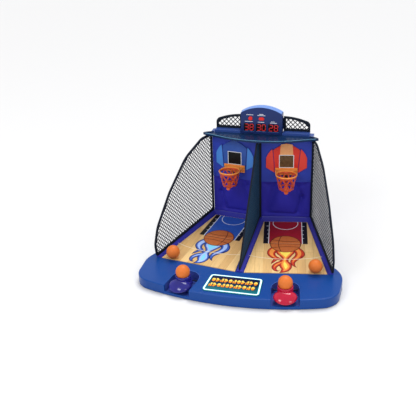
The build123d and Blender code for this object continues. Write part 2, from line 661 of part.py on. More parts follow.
def make_launcher():
    body = launcher_body(0, 0)
    body = fillet(body.edges().filter_by(lambda e: e.center().Z > 14.9 and e.length > 3).group_by(Axis.Z)[-1], 1.0)
    cup = Pos(0, CUP_V, 22) * Cylinder(13, 8.0, align=BOTTOM)
    hollow = launcher_body(2.0, 2.4) & span_box((-40, 40), (-110, -50.5), (-10, 60))
    hub = Pos(0, LEVER_V, LEVER_Z) * Rot(0, 90, 0) * Cylinder(5.0, 19.6)
    lever = body + cup - hollow + hub
    lever = lever - Pos(0, CUP_V, CUP_Z) * Sphere(BALL_R + 0.15)
    lever = lever - Pos(0, LEVER_V, LEVER_Z) * Rot(0, 90, 0) * Cylinder(1.55, 40)
    return LANE * lever


def make_power_switch():
    """Slide switch in the rear wall of the base: a knob in a slot, and its body inside."""
    knob = span_box((60.6, 64.4), (REAR_Y - 3.2, REAR_Y - 0.1), (12.3, 16.1))
    flange = span_box((57.5, 67.5), (REAR_Y - 4.4, REAR_Y - 2.6), (10.5, 17.9))
    save("power_switch_knob", knob + flange)
    body = span_box((48, 72), (REAR_Y - 11, REAR_Y - 2.5), (8, 20))
    body = body - span_box((51, 69), (REAR_Y - 4.7, REAR_Y), (9.5, 18.5))
    save("power_switch_body", body)


def make_badge():
    """Raised plate on the deck with rounded corners, a little narrower at the rear."""
    front_y, rear_y = -159.5, -97.5
    outline = FilletPolyline((-56, front_y), (56, front_y), (53, rear_y), (-53, rear_y),
                             radius=8.0, close=True)
    plate = extrude(Pos(0, 0, DECK_Z + 0.05) * make_face(outline), 1.8)
    return chamfer(plate.edges().group_by(Axis.Z)[-1], 0.5)


def make_balls():
    ball = Sphere(BALL_R)
    save_pair("launcher_ball", LANE * (Pos(0, CUP_V, CUP_Z) * ball))
    right = lane_point(*COURT_BALL_RIGHT)
    left = lane_point(*COURT_BALL_LEFT)
    save("court_ball_right", Pos(right[0], right[1], COURT_BALL_Z) * ball)
    save("court_ball_left", Pos(-left[0], left[1], COURT_BALL_Z) * ball)


def build_pieces():
    save("base_shell", make_base())
    save("base_plate", make_base_plate())
    feet = [Pos(x, y, 0) * Cylinder(7, FOOT, align=BOTTOM) for x, y in FEET]
    save("rubber_feet", group(feet))
    places = BOSSES + [(0, BATTERY_Y + BAY[1] / 2 + 4.6)]
    lengths = [11] * len(BOSSES) + [8]
    save("base_screws", group(Pos(x, y, FOOT) * screw(n, 1.4, 2.8, 1.2) for (x, y), n in zip(places, lengths)))
    make_battery_parts()
    save_pair("court", make_court())
    save_pair("lane_trim", make_trim())
    save_pair("back_panel", make_back_panel())
    save("panel_screws", make_panel_screws())
    curtain = span_box(PANEL_U, (WALL_V + 0.2, WALL_V + 0.2 + CURTAIN_T), (TRIM_Z1 + 1.0, PANEL_Z0 - 0.3))
    save_pair("curtain", LANE * curtain)
    save_pair("backboard", make_backboard())
    save_pair("hoop", make_hoop())
    save_pair("basket", make_basket())
    save_pair("score_paddle", make_paddle())
    pin = Pos(0, PADDLE_V, PADDLE_Z) * Rot(0, 90, 0) * Cylinder(1.0, 11.2)
    save("paddle_pins", both(LANE * pin))
    spring = Pos(1.3, PADDLE_V, PADDLE_Z) * Rot(0, 90, 0) * coil(1.8, 0.25, 3, 0.56)
    save("paddle_springs", both(LANE * spring))
    save("score_switches", both(make_score_switch()))
    save("switch_covers", both(make_switch_cover()))
    save("rear_posts", make_posts())
    save("header_beam", make_header())
    save("hood", make_hood())
    make_scoreboard()
    make_buttons()
    make_wings()
    make_side_net()
    make_divider()
    save_pair("launcher", make_launcher())
    axle = Pos(0, LEVER_V, LEVER_Z) * Rot(0, 90, 0) * Cylinder(1.5, 51.6)
    save("launcher_axles", both(LANE * axle))
    spring = Pos(10.4, LEVER_V, LEVER_Z) * Rot(0, 90, 0) * coil(2.3, 0.4, 5, 0.84)
    save("launcher_springs", both(LANE * spring))
    make_power_switch()
    save("badge_plate", make_badge())
    make_balls()


build_pieces()
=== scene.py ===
import json

import bmesh
import bpy
import numpy as np
from math import atan2, cos, pi, radians, sin, sqrt
from mathutils import Matrix, Vector, noise


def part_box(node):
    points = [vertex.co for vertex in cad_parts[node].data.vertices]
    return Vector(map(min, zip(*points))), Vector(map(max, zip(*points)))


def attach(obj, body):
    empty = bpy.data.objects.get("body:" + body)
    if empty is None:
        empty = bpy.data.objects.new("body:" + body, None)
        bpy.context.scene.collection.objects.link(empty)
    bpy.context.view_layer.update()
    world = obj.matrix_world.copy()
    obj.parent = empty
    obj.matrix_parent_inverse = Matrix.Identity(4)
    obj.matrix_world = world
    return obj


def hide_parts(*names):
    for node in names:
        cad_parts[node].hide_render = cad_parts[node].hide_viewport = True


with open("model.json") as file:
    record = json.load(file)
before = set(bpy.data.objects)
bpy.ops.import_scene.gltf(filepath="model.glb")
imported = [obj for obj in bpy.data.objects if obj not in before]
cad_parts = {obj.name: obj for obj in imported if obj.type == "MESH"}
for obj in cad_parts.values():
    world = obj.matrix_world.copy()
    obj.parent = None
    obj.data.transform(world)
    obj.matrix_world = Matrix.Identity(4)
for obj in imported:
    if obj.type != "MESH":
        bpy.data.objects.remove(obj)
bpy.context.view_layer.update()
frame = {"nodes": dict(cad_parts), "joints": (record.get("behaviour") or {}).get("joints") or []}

bl_info = {
    "name": "Tabletop basketball machine",
    "version": (1, 0, 0),
    "blender": (4, 5, 0),
    "location": "3D View > Sidebar > Basketball",
    "description": "Builds the looks of a two-lane tabletop basketball machine around its CAD frame",
    "category": "Object",
}

MM = 0.001
UP = Vector((0, 0, 1))
SIDES = {"right": 1, "left": -1}


# ---------------------------------------------------------------- the frame's own places

def joint(name):
    return next(j for j in frame["joints"] if j["name"] == name)


class Lane:
    """Axes of one lane, read from the launcher's and the paddle's hinges: u across, v towards the hoop."""

    def __init__(self, side):
        axle = Vector(joint(f"launcher_{side}_press")["pos_m"])
        pin = Vector(joint(f"paddle_{side}_swing")["pos_m"])
        run = Vector((pin.x - axle.x, pin.y - axle.y, 0))
        self.side = SIDES[side]
        self.depth = run.normalized()
        self.across = Vector((self.depth.y, -self.depth.x, 0))
        self.axle, self.pin = axle, pin
        self.start = Vector((axle.x, axle.y, 0)) + self.depth * AXLE_TO_COURT
        self.hoop = Vector((pin.x, pin.y, 0)) - self.depth * PIN_TO_HOOP
        self.wall = Vector((pin.x, pin.y, 0)) + self.depth * PIN_TO_WALL
        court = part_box(f"court_{side}")
        self.z_front = court[0][2] + COURT_BOARD
        self.z_rear = court[1][2]
        self.length = COURT_LENGTH
        self.slope = (self.z_rear - self.z_front) / self.length

    def at(self, u, v, z):
        """World point; u is positive towards the machine's outer side."""
        return self.start + self.across * (u * self.side) + self.depth * v + Vector((0, 0, z))

    def on_court(self, u, v, lift):
        return self.at(u, v, self.z_front + self.slope * v + lift)

    def angle(self):
        return atan2(self.across.y, self.across.x)


# The paddle's hinge, the launcher's hinge and the court share the lane's middle line.
AXLE_TO_COURT = 42.0 * MM
PIN_TO_HOOP = 25.7 * MM
PIN_TO_WALL = 6.7 * MM
COURT_BOARD = 2.4 * MM
COURT_LENGTH = 203.8 * MM
LANES = {side: Lane(side) for side in SIDES}


# ---------------------------------------------------------------- small makers

def linear(code):
    """sRGB hex to linear red, green, blue."""
    values = [int(code[i:i + 2], 16) / 255 for i in (0, 2, 4)]
    return [v / 12.92 if v <= 0.04045 else ((v + 0.055) / 1.055) ** 2.4 for v in values] + [1.0]


def add(tree, kind, inputs=None, **settings):
    """Add a node, set its properties, and fill its inputs with values or links."""
    made = tree.nodes.new(kind)
    for key, value in settings.items():
        setattr(made, key, value)
    for key, value in (inputs or {}).items():
        if isinstance(value, bpy.types.NodeSocket):
            tree.links.new(value, made.inputs[key])
        else:
            made.inputs[key].default_value = value
    return made


def piece(name, bm, material, body, smooth=True, stands_for=(), recalc=True):
    """Turn a bmesh into a finished piece that rides on a body."""
    if recalc:
        bmesh.ops.recalc_face_normals(bm, faces=bm.faces)
    mesh = bpy.data.meshes.new(name)
    bm.to_mesh(mesh)
    bm.free()
    mesh.polygons.foreach_set("use_smooth", [smooth] * len(mesh.polygons))
    return place(name, mesh, material, body, stands_for)


def place(name, mesh, material, body, stands_for=()):
    """Add a mesh as a piece that rides on a body and may stand for CAD nodes."""
    obj = bpy.data.objects.new(name, mesh)
    bpy.context.scene.collection.objects.link(obj)
    if material:
        mesh.materials.clear()
        mesh.materials.append(material)
    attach(obj, body)
    if stands_for:
        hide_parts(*stands_for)
    return obj


def paint(material, *nodes):
    """Give CAD nodes a better material."""
    for name in nodes:
        obj = frame["nodes"][name]
        if obj.data.materials:
            for holder in obj.material_slots:
                holder.material = material
        else:
            obj.data.materials.append(material)


def loft(bm, rings, close_ends=True):
    """Skin between rings of equal length, each a list of points."""
    loops = [[bm.verts.new(p) for p in ring] for ring in rings]
    for a, b in zip(loops, loops[1:]):
        for i in range(len(a)):
            k = (i + 1) % len(a)
            bm.faces.new((a[i], a[k], b[k], b[i]))
    if close_ends:
        bm.faces.new(loops[0][::-1])
        bm.faces.new(loops[-1])
    return loops


def turn_faces(bm, way):
    """Point every face of a flat drawing the same way."""
    for face in bm.faces:
        face.normal_update()
        if face.normal.dot(way) < 0:
            face.normal_flip()


def slab(bm, ring, front_y, back_y):
    """Thin upright slab with the outline ring, a list of (x, z)."""
    front = [bm.verts.new((x, front_y, z)) for x, z in ring]
    back = [bm.verts.new((x, back_y, z)) for x, z in ring]
    bm.faces.new(front)
    bm.faces.new(back[::-1])
    for i in range(len(ring)):
        k = (i + 1) % len(ring)
        bm.faces.new((front[k], front[i], back[i], back[k]))


def settings():
    return bpy.context.scene.hoop_game


# ---------------------------------------------------------------- materials

def material_start(name):
    """New material with its shader and object coordinates."""
    material = bpy.data.materials.new(name)
    material.use_nodes = True
    tree = material.node_tree
    tree.nodes.clear()
    coords = add(tree, "ShaderNodeTexCoord").outputs["Object"]
    shader = add(tree, "ShaderNodeBsdfPrincipled")
    add(tree, "ShaderNodeOutputMaterial", {"Surface": shader.outputs["BSDF"]})
    return material, tree, shader, coords


def per_mm(size):
    """Texture scale whose features are about size millimetres wide."""
    return 1000.0 / size


def moulded_plastic(name, colour, roughness=0.34, texture_mm=0.9, relief=0.15, shift=0.10, top=None):
    """Injection-moulded ABS: even colour with faint clouding, and a fine spark-eroded texture that breaks
    up the highlight. Given top, upward faces blend to that colour as a painted top highlight."""
    material, tree, shader, coords = material_start(name)
    cloud = add(tree, "ShaderNodeTexNoise", {"Vector": coords, "Scale": per_mm(45), "Detail": 3.0})
    dark = [c * (1 - shift) for c in linear(colour)[:3]] + [1.0]
    mixed = add(tree, "ShaderNodeMix", {"Factor": cloud.outputs["Fac"], "A": dark, "B": linear(colour)},
                data_type="RGBA")
    fine = add(tree, "ShaderNodeTexNoise", {"Vector": coords, "Scale": per_mm(texture_mm), "Detail": 2.0})
    rub = add(tree, "ShaderNodeTexNoise", {"Vector": coords, "Scale": per_mm(18), "Detail": 4.0})
    rough = add(tree, "ShaderNodeMapRange", {"Value": rub.outputs["Fac"], "To Min": roughness - 0.06,
                                             "To Max": roughness + 0.08})
    bump = add(tree, "ShaderNodeBump", {"Height": fine.outputs["Fac"], "Strength": relief,
                                        "Distance": 0.05 * MM})
    colour_out = mixed.outputs["Result"]
    # Painted top highlight: faces turned upwards blend towards the top colour, standing in for light from
    # above.
    if top:
        facing = add(tree, "ShaderNodeSeparateXYZ",
                     {"Vector": add(tree, "ShaderNodeTexCoord").outputs["Normal"]})
        upward = add(tree, "ShaderNodeMapRange", {"Value": facing.outputs["Z"], "From Min": 0.35,
                                                  "From Max": 0.8})
        painted_top_highlight = add(tree, "ShaderNodeMix", {"Factor": upward.outputs["Result"], "A": colour_out,
                                             "B": linear(top)}, data_type="RGBA")
        colour_out = painted_top_highlight.outputs["Result"]
    tree.links.new(colour_out, shader.inputs["Base Color"])
    tree.links.new(rough.outputs["Result"], shader.inputs["Roughness"])
    tree.links.new(bump.outputs["Normal"], shader.inputs["Normal"])
    shader.inputs["IOR"].default_value = 1.53
    shader.inputs["Specular IOR Level"].default_value = 0.22
    return material


def tinted_plastic(name, colour, deep, transmission, roughness, gloss=0.35):
    """Clear-tinted moulding: deep colour mixed in by a swirling noise, bright polished highlights."""
    material, tree, shader, coords = material_start(name)
    flow = add(tree, "ShaderNodeTexNoise", {"Vector": coords, "Scale": per_mm(22), "Detail": 2.0,
                                            "Distortion": 0.6})
    mixed = add(tree, "ShaderNodeMix", {"Factor": flow.outputs["Fac"], "A": linear(deep),
                                        "B": linear(colour)}, data_type="RGBA")
    ripple = add(tree, "ShaderNodeTexNoise", {"Vector": coords, "Scale": per_mm(9), "Detail": 1.0})
    bump = add(tree, "ShaderNodeBump", {"Height": ripple.outputs["Fac"], "Strength": 0.12,
                                        "Distance": 0.2 * MM})
    tree.links.new(mixed.outputs["Result"], shader.inputs["Base Color"])
    tree.links.new(bump.outputs["Normal"], shader.inputs["Normal"])
    shader.inputs["Roughness"].default_value = roughness
    shader.inputs["Transmission Weight"].default_value = transmission
    shader.inputs["IOR"].default_value = 1.49
    shader.inputs["Specular IOR Level"].default_value = gloss
    shader.inputs["Coat Weight"].default_value = gloss * 0.6
    shader.inputs["Coat Roughness"].default_value = 0.03
    return material


def woven_polyester(name, colour, light, thread_mm=1.3):
    """Woven polyester: crossing threads and a soft sheen. The real threads are 0.3 mm, drawn four times
    coarser so that the weave can be seen."""
    material, tree, shader, coords = material_start(name)
    warp = add(tree, "ShaderNodeTexWave", {"Vector": coords, "Scale": per_mm(thread_mm) / 6.283,
                                           "Distortion": 0.4, "Detail": 1.0}, bands_direction="X")
    weft = add(tree, "ShaderNodeTexWave", {"Vector": coords, "Scale": per_mm(thread_mm) / 6.283,
                                           "Distortion": 0.4, "Detail": 1.0}, bands_direction="Z")
    cross = add(tree, "ShaderNodeMath", {0: warp.outputs["Fac"], 1: weft.outputs["Fac"]},
                operation="MULTIPLY")
    cloud = add(tree, "ShaderNodeTexNoise", {"Vector": coords, "Scale": per_mm(30), "Detail": 4.0})
    tone = add(tree, "ShaderNodeMath", {0: cloud.outputs["Fac"], 1: cross.outputs["Value"]},
               operation="MULTIPLY")
    mixed = add(tree, "ShaderNodeMix", {"Factor": tone.outputs["Value"], "A": linear(colour),
                                        "B": linear(light)}, data_type="RGBA")
    bump = add(tree, "ShaderNodeBump", {"Height": cross.outputs["Value"], "Strength": 0.35,
                                        "Distance": 0.2 * MM})
    tree.links.new(mixed.outputs["Result"], shader.inputs["Base Color"])
    tree.links.new(bump.outputs["Normal"], shader.inputs["Normal"])
    shader.inputs["Roughness"].default_value = 0.62
    shader.inputs["Specular IOR Level"].default_value = 0.2
    shader.inputs["Sheen Weight"].default_value = 0.04
    shader.inputs["Sheen Roughness"].default_value = 0.4
    return material


def printed_maple(name, side):
    """Varnished board printed with maple strip flooring: 17 mm planks of differing tone, fine grain along
    the lane, and thin dark joints."""
    material, tree, shader, coords = material_start(name)
    lane = LANES[side]
    turn = lane.angle()
    along = add(tree, "ShaderNodeMapping", {"Vector": coords, "Rotation": (0, 0, -turn)})
    quarter = add(tree, "ShaderNodeMapping", {"Vector": along.outputs["Vector"], "Rotation": (0, 0, pi / 2)})
    planks = add(tree, "ShaderNodeTexBrick", {
        "Vector": quarter.outputs["Vector"], "Scale": 1.0, "Mortar Size": 0.28 * MM, "Mortar Smooth": 0.2,
        "Bias": -0.1, "Brick Width": 150 * MM, "Row Height": 17 * MM,
        "Color1": linear("edc888"), "Color2": linear("d8aa68"), "Mortar": linear("be9150")}, offset=0.37)
    stretch = add(tree, "ShaderNodeMapping", {"Vector": along.outputs["Vector"], "Scale": (1, 0.06, 1)})
    grain = add(tree, "ShaderNodeTexNoise", {"Vector": stretch.outputs["Vector"], "Scale": per_mm(2.4),
                                             "Detail": 6.0, "Roughness": 0.65, "Distortion": 0.4})
    bands = add(tree, "ShaderNodeTexNoise", {"Vector": stretch.outputs["Vector"], "Scale": per_mm(14),
                                             "Detail": 2.0})
    grain_tone = add(tree, "ShaderNodeMapRange", {"Value": grain.outputs["Fac"], "From Min": 0.3,
                                                  "From Max": 0.75, "To Min": 1.06, "To Max": 0.84})
    band_tone = add(tree, "ShaderNodeMapRange", {"Value": bands.outputs["Fac"], "From Min": 0.3,
                                                 "From Max": 0.7, "To Min": 1.06, "To Max": 0.92})
    both = add(tree, "ShaderNodeMath", {0: grain_tone.outputs["Result"], 1: band_tone.outputs["Result"]},
               operation="MULTIPLY")
    toned = add(tree, "ShaderNodeVectorMath", {0: planks.outputs["Color"], "Scale": both.outputs["Value"]},
                operation="SCALE")
    tree.links.new(toned.outputs["Vector"], shader.inputs["Base Color"])
    bump = add(tree, "ShaderNodeBump", {"Height": planks.outputs["Fac"], "Strength": 0.2,
                                        "Distance": -0.1 * MM})
    tree.links.new(bump.outputs["Normal"], shader.inputs["Normal"])
    shader.inputs["Roughness"].default_value = 0.38
    shader.inputs["Coat Weight"].default_value = 0.25
    shader.inputs["Coat Roughness"].default_value = 0.15
    return material


def ink(name, colour, shade=None, patch_mm=8.0, roughness=0.4):
    """Screen-printed ink: solid colour with the faint mottling of the print screen."""
    material, tree, shader, coords = material_start(name)
    shade = shade or colour
    mottle = add(tree, "ShaderNodeTexNoise", {"Vector": coords, "Scale": per_mm(patch_mm), "Detail": 5.0,
                                              "Roughness": 0.6})
    mixed = add(tree, "ShaderNodeMix", {"Factor": mottle.outputs["Fac"], "A": linear(shade),
                                        "B": linear(colour)}, data_type="RGBA")
    fine = add(tree, "ShaderNodeTexNoise", {"Vector": coords, "Scale": per_mm(0.8)})
    bump = add(tree, "ShaderNodeBump", {"Height": fine.outputs["Fac"], "Strength": 0.06,
                                        "Distance": 0.03 * MM})
    tree.links.new(mixed.outputs["Result"], shader.inputs["Base Color"])
    tree.links.new(bump.outputs["Normal"], shader.inputs["Normal"])
    shader.inputs["Roughness"].default_value = roughness
    shader.inputs["Specular IOR Level"].default_value = 0.2
    return material


def glowing(name, colour, strength, core=None):
    """Part drawn emitting: a bright even glow under a thin diffuser. The digits are lit segments; the
    badge's glow is painted light.
    """
    material, tree, shader, coords = material_start(name)
    drift = add(tree, "ShaderNodeTexNoise", {"Vector": coords, "Scale": per_mm(3.0), "Detail": 1.0})
    mixed = add(tree, "ShaderNodeMix", {"Factor": drift.outputs["Fac"], "A": linear(colour),
                                        "B": linear(core or colour)}, data_type="RGBA")
    tree.links.new(mixed.outputs["Result"], shader.inputs["Base Color"])
    tree.links.new(mixed.outputs["Result"], shader.inputs["Emission Color"])
    shader.inputs["Emission Strength"].default_value = strength
    shader.inputs["Roughness"].default_value = 0.35
    return material


def metal(name, colour, roughness, scratch_mm=0.6):
    """Zinc-plated or drawn steel: bright metal with fine directional scratches."""
    material, tree, shader, coords = material_start(name)
    squash = add(tree, "ShaderNodeMapping", {"Vector": coords, "Scale": (1, 1, 0.1)})
    lines = add(tree, "ShaderNodeTexNoise", {"Vector": squash.outputs["Vector"],
                                             "Scale": per_mm(scratch_mm), "Detail": 3.0})
    rough = add(tree, "ShaderNodeMapRange", {"Value": lines.outputs["Fac"], "To Min": roughness - 0.08,
                                             "To Max": roughness + 0.12})
    tone = add(tree, "ShaderNodeMix", {"Factor": lines.outputs["Fac"], "A": linear(colour),
                                       "B": [c * 0.8 for c in linear(colour)[:3]] + [1.0]},
               data_type="RGBA")
    tree.links.new(tone.outputs["Result"], shader.inputs["Base Color"])
    tree.links.new(rough.outputs["Result"], shader.inputs["Roughness"])
    shader.inputs["Metallic"].default_value = 1.0
    return material


MATERIALS = {}


def finish(key):
    """The named finish, made once."""
    if key not in MATERIALS:
        MATERIALS[key] = FINISHES[key]()
    return MATERIALS[key]


FINISHES = {
    "deck": lambda: moulded_plastic("Satin blue ABS", settings().deck_blue, 0.32),
    "trim": lambda: moulded_plastic("Violet blue ABS", settings().trim_blue, 0.42),
    "panel": lambda: moulded_plastic("Blue foil board", settings().panel_blue, 0.45, 1.4, 0.1),
    "header": lambda: moulded_plastic("Blue header ABS", "345098", 0.3),
    # The scoreboard's lighter top colour is a painted highlight on its upward faces.
    "case with painted top highlight": lambda: moulded_plastic("Blue ABS, painted top highlight", settings().case_blue, 0.3,
                                           top="6a92dc"),
    "recess": lambda: moulded_plastic("Violet recess ABS", "4458b0", 0.3),
    # Lighter blue of the recess rim: a painted highlight where the edge catches the light.
    "rim highlight": lambda: moulded_plastic("Painted rim highlight blue", "4a6cc8", 0.2),
    "hoop": lambda: moulded_plastic("Light orange polypropylene", "ffa04c", 0.25, 1.2, 0.08),
    # The basket's lighter top colour is a painted highlight on its upward faces.
    "basket": lambda: moulded_plastic("Red-orange polypropylene, painted top highlight", settings().hoop_orange, 0.35, 1.2, 0.08,
                                      top="ea7038"),
    "black": lambda: moulded_plastic("Black ABS", "101114", 0.45),
    "curtain": lambda: woven_polyester("Violet blue polyester", settings().curtain_blue, "403ec8"),
    "piping": lambda: woven_polyester("Navy piping", "08111f", "13233a", 1.6),
    "thread": lambda: woven_polyester("Navy net thread", "0c141f", "1c2a3c", 0.9),
    "divider thread": lambda: woven_polyester("Slate net thread", "0e3450", "1c5074", 0.9),
    "ball": lambda: moulded_plastic("Orange ball vinyl", settings().ball_orange, 0.42, 0.7, 0.4),
    "hood": lambda: tinted_plastic("Navy polycarbonate", "153460", "0c2244", 0.08, 0.25, 0.1),
    # Pale teal strand on the hood's front edge: a painted highlight.
    "hood edge highlight": lambda: tinted_plastic("Polycarbonate, painted edge highlight", "5b97b8", "2f6488", 0.1, 0.1),
    "launcher left": lambda: tinted_plastic("Violet polystyrene", "2c2a9c", "16145c", 0.05, 0.1),
    "launcher right": lambda: tinted_plastic("Crimson polystyrene", "d0123e", "a0082c", 0.04, 0.1),
    "steel": lambda: metal("Zinc-plated steel", "b9bcc0", 0.3),
    "post": lambda: moulded_plastic("Navy powder coat", "1c2546", 0.4, 0.6, 0.4),
    "rubber": lambda: moulded_plastic("Black rubber", "17181a", 0.8, 1.0, 0.4),
    "button": lambda: moulded_plastic("Red ABS button", "e02a26", 0.25),
    "white ink": lambda: ink("White ink", "f2f4f8", "dfe3ec"),
    "cream ink": lambda: ink("Cream court ink", "f7ead2", "efdcb8"),
    "black ink": lambda: ink("Black court ink", "0b0b0d", "17171a"),
    "smoke": lambda: ink("Smoked acrylic", "030304", "060607", roughness=0.3),
    "digit": lambda: glowing("Lit red segment", "c01c28", 0.22, "cc2a30"),
    "digit off": lambda: ink("Unlit red segment", "1c0507", "140305", roughness=0.3),
    # The badge's printed neon border is drawn emitting: a painted glow, as the badge has no lamp.
    "neon": lambda: glowing("White neon print, painted glow", "e6fdff", 0.55, "ffffff"),
    "glow": lambda: glowing("Cyan neon print, painted glow", "2fb4c4", 0.25, "1c8c9c"),
    "badge yellow": lambda: ink("Yellow badge ink", "ffe268", "ffd24a"),
    "badge orange": lambda: ink("Orange badge ink", "f29a2a", "e8861c"),
    "badge shade": lambda: ink("Dark badge ink", "10142e", "0c1026"),
    "green board": lambda: moulded_plastic("Green glass-fibre board", "145a2c", 0.4),
}


# ---------------------------------------------------------------- settings

def colour_setting(name, description, default):
    return bpy.props.StringProperty(name=name, description=description, default=default)


def length_setting(name, description, default):
    return bpy.props.FloatProperty(name=name, description=description, default=default, unit="LENGTH",
                                   subtype="DISTANCE", precision=5)


class HoopGameSettings(bpy.types.PropertyGroup):
    deck_blue: colour_setting("Deck blue", "sRGB hex of the base's deck", "0c4492")
    trim_blue: colour_setting("Trim blue", "sRGB hex of the lane surrounds", "3638aa")
    panel_blue: colour_setting("Panel blue", "sRGB hex of the upper back panels", "2e44b8")
    curtain_blue: colour_setting("Curtain blue", "sRGB hex of the cloth curtains", "2a28a6")
    case_blue: colour_setting("Case blue", "sRGB hex of the scoreboard", "1a2f68")
    hoop_orange: colour_setting("Basket orange", "sRGB hex of baskets and paddles", "d25030")
    ball_orange: colour_setting("Ball orange", "sRGB hex of the balls", "de7630")
    diamond: length_setting("Net diamond", "Half width of a side net's diamonds", 4.5 * MM)
    divider_diamond: length_setting("Divider diamond", "Half width of the divider net's diamonds", 1.8 * MM)
    wing_diamond: length_setting("Wing diamond", "Half width of the wing mesh's diamonds", 4.9 * MM)
    thread: length_setting("Net thread", "Width of a side net's thread", 1.9 * MM)


class Step:
    """Shared by the operators that build one group of pieces."""
    bl_options = {"REGISTER"}

    def execute(self, context):
        self.build()
        return {"FINISHED"}


# ---------------------------------------------------------------- base and lanes

# Launcher recess in lane millimetres: straight sides and an arched rear.
RECESS_HALF, RECESS_ARCH_V, RECESS_FRONT_V = 26.85, -55.0, -91.0
RECESS_FLOOR, RECESS_LIP, DECK_TOP = 3.35 * MM, 19.6 * MM, 21.0 * MM


class HOOP_OT_base(Step, bpy.types.Operator):
    """Finish the base, its underside and its inner parts"""
    bl_idname = "hoop.base"
    bl_label = "Base"

    def build(self):
        paint(finish("deck"), "base_shell", "base_plate", "battery_door")
        paint(finish("trim"), "lane_trim_left", "lane_trim_right")
        paint(finish("black"), "battery_box", "power_switch_knob", "power_switch_body", "battery_cells")
        paint(finish("steel"), "battery_contacts", "base_screws", "scoreboard_screws",
              "launcher_springs", "paddle_pins", "paddle_springs")
        paint(finish("rubber"), "rubber_feet")
        # The launcher axles are drawn in the same dark navy as the rear posts.
        paint(finish("post"), "launcher_axles")
        for side, lane in LANES.items():
            self.recess(side, lane)

    def recess(self, side, lane):
        """Violet lining of a launcher recess, and a bead round its rear arch in a painted highlight colour.
        """
        arch = [(RECESS_HALF * cos(t), RECESS_ARCH_V + RECESS_HALF * sin(t))
                for t in (pi * i / 24 for i in range(25))]
        outline = [(RECESS_HALF, RECESS_FRONT_V)] + arch + [(-RECESS_HALF, RECESS_FRONT_V)]
        bm = bmesh.new()
        low = [bm.verts.new(lane.at(u * MM, v * MM, RECESS_FLOOR)) for u, v in outline]
        high = [bm.verts.new(lane.at(u * MM, v * MM, RECESS_LIP)) for u, v in outline]
        bm.faces.new(low)
        for i in range(len(outline) - 1):
            bm.faces.new((low[i], low[i + 1], high[i + 1], high[i]))
        for face in bm.faces:
            face.normal_update()
        middle = lane.at(0, -70 * MM, 12 * MM)
        for face in bm.faces:
            if face.normal.dot(middle - face.calc_center_median()) < 0:
                face.normal_flip()
        piece(f"recess_lining_{side}", bm, finish("recess"), "machine", smooth=False, recalc=False)
        # The bead's lighter blue is a painted highlight along the recess's rear edge.
        rim = [lane.at(u * 1.012 * MM, (v + 0.4) * MM, DECK_TOP) for u, v in arch]
        strands(f"recess_bead_{side}", [rim], 0.55 * MM, finish("rim highlight"), "machine")


def stroke(bm, points, widths, lift, lane):
    """Flat ribbon on a court along (u, v) points with a half width at each."""
    points = [Vector((p[0], p[1])) for p in points]
    left, right = [], []
    for i, p in enumerate(points):
        ahead = points[min(i + 1, len(points) - 1)] - points[max(i - 1, 0)]
        ahead.normalize()
        side = Vector((-ahead.y, ahead.x)) * widths[i]
        left.append(bm.verts.new(lane.on_court(*(p + side) * MM, lift)))
        right.append(bm.verts.new(lane.on_court(*(p - side) * MM, lift)))
    for i in range(len(points) - 1):
        quad = (left[i], right[i], right[i + 1], left[i + 1])
        bm.faces.new(quad if lane.side > 0 else quad[::-1])


def bezier(controls, count):
    """Points of a Bezier curve with any number of control points."""
    out = []
    for i in range(count):
        t = i / (count - 1)
        pts = [Vector(c) for c in controls]
        while len(pts) > 1:
            pts = [a.lerp(b, t) for a, b in zip(pts, pts[1:])]
        out.append(pts[0])
    return out


def arc_points(cu, cv, radius, a0, a1, count, squash=1.0):
    return [(cu + radius * cos(a0 + (a1 - a0) * i / (count - 1)),
             cv + squash * radius * sin(a0 + (a1 - a0) * i / (count - 1))) for i in range(count)]


# Court drawing, in millimetres from the middle of the court's front edge.
KEY_HALF, KEY_V0, KEY_V1 = 35.0, 110.0, 203.0
BAR_INNER, BAR_OUTER = 36.6, 47.2
EMBLEM_V, EMBLEM_R = 109.0, 33.0
LINE = 0.8
LAYER = 0.07 * MM


def flat_shape(name, rings, material, lane, lift):
    """Filled outlines printed on a court."""
    bm = bmesh.new()
    for ring in rings:
        verts = [bm.verts.new(lane.on_court(u * MM, v * MM, lift)) for u, v in ring]
        bm.faces.new(verts)
    turn_faces(bm, UP)
    return piece(name, bm, material, "machine", smooth=False, recalc=False)


def line_drawing(name, lines, material, lane, lift, half=LINE):
    bm = bmesh.new()
    for points in lines:
        stroke(bm, points, [half] * len(points), lift, lane)
    turn_faces(bm, UP)
    return piece(name, bm, material, "machine", smooth=False, recalc=False)


# Flame tongues as (u, v, half width) stations in millimetres, and how many colours each one has.
TONGUES = (
    (4, ((0, 90, 21), (0, 74, 19), (0.5, 63, 12.5), (0, 53, 7.5), (-2, 43, 8.5), (-1, 33, 12), (1, 23, 12.5),
         (0, 13, 9), (-6, 5, 4), (-12, 0.6, 0.1))),
    (3, ((-7, 39, 6), (-17, 30, 6.5), (-22, 21, 5.5), (-21, 12, 3.8), (-16, 7, 2), (-11, 9, 0.1))),
    (3, ((-19, 94, 9), (-27, 82, 9.5), (-29, 70, 8.5), (-24, 59, 6.5), (-15, 51, 4.5), (-6, 46, 1.5))),
    (2, ((-12, 55, 4.6), (-20, 48, 4.2), (-25, 40, 3), (-29, 31, 0.1))),
    (3, ((19, 94, 9), (27, 82, 9), (29, 70, 8.5), (25, 58, 7.5), (18, 48, 6.5), (15, 38, 5), (17, 28, 3),
         (23, 20, 0.1))),
    (2, ((31, 84, 5.5), (35.5, 74, 4.6), (36, 64, 3.2), (32, 53, 0.1))),
)


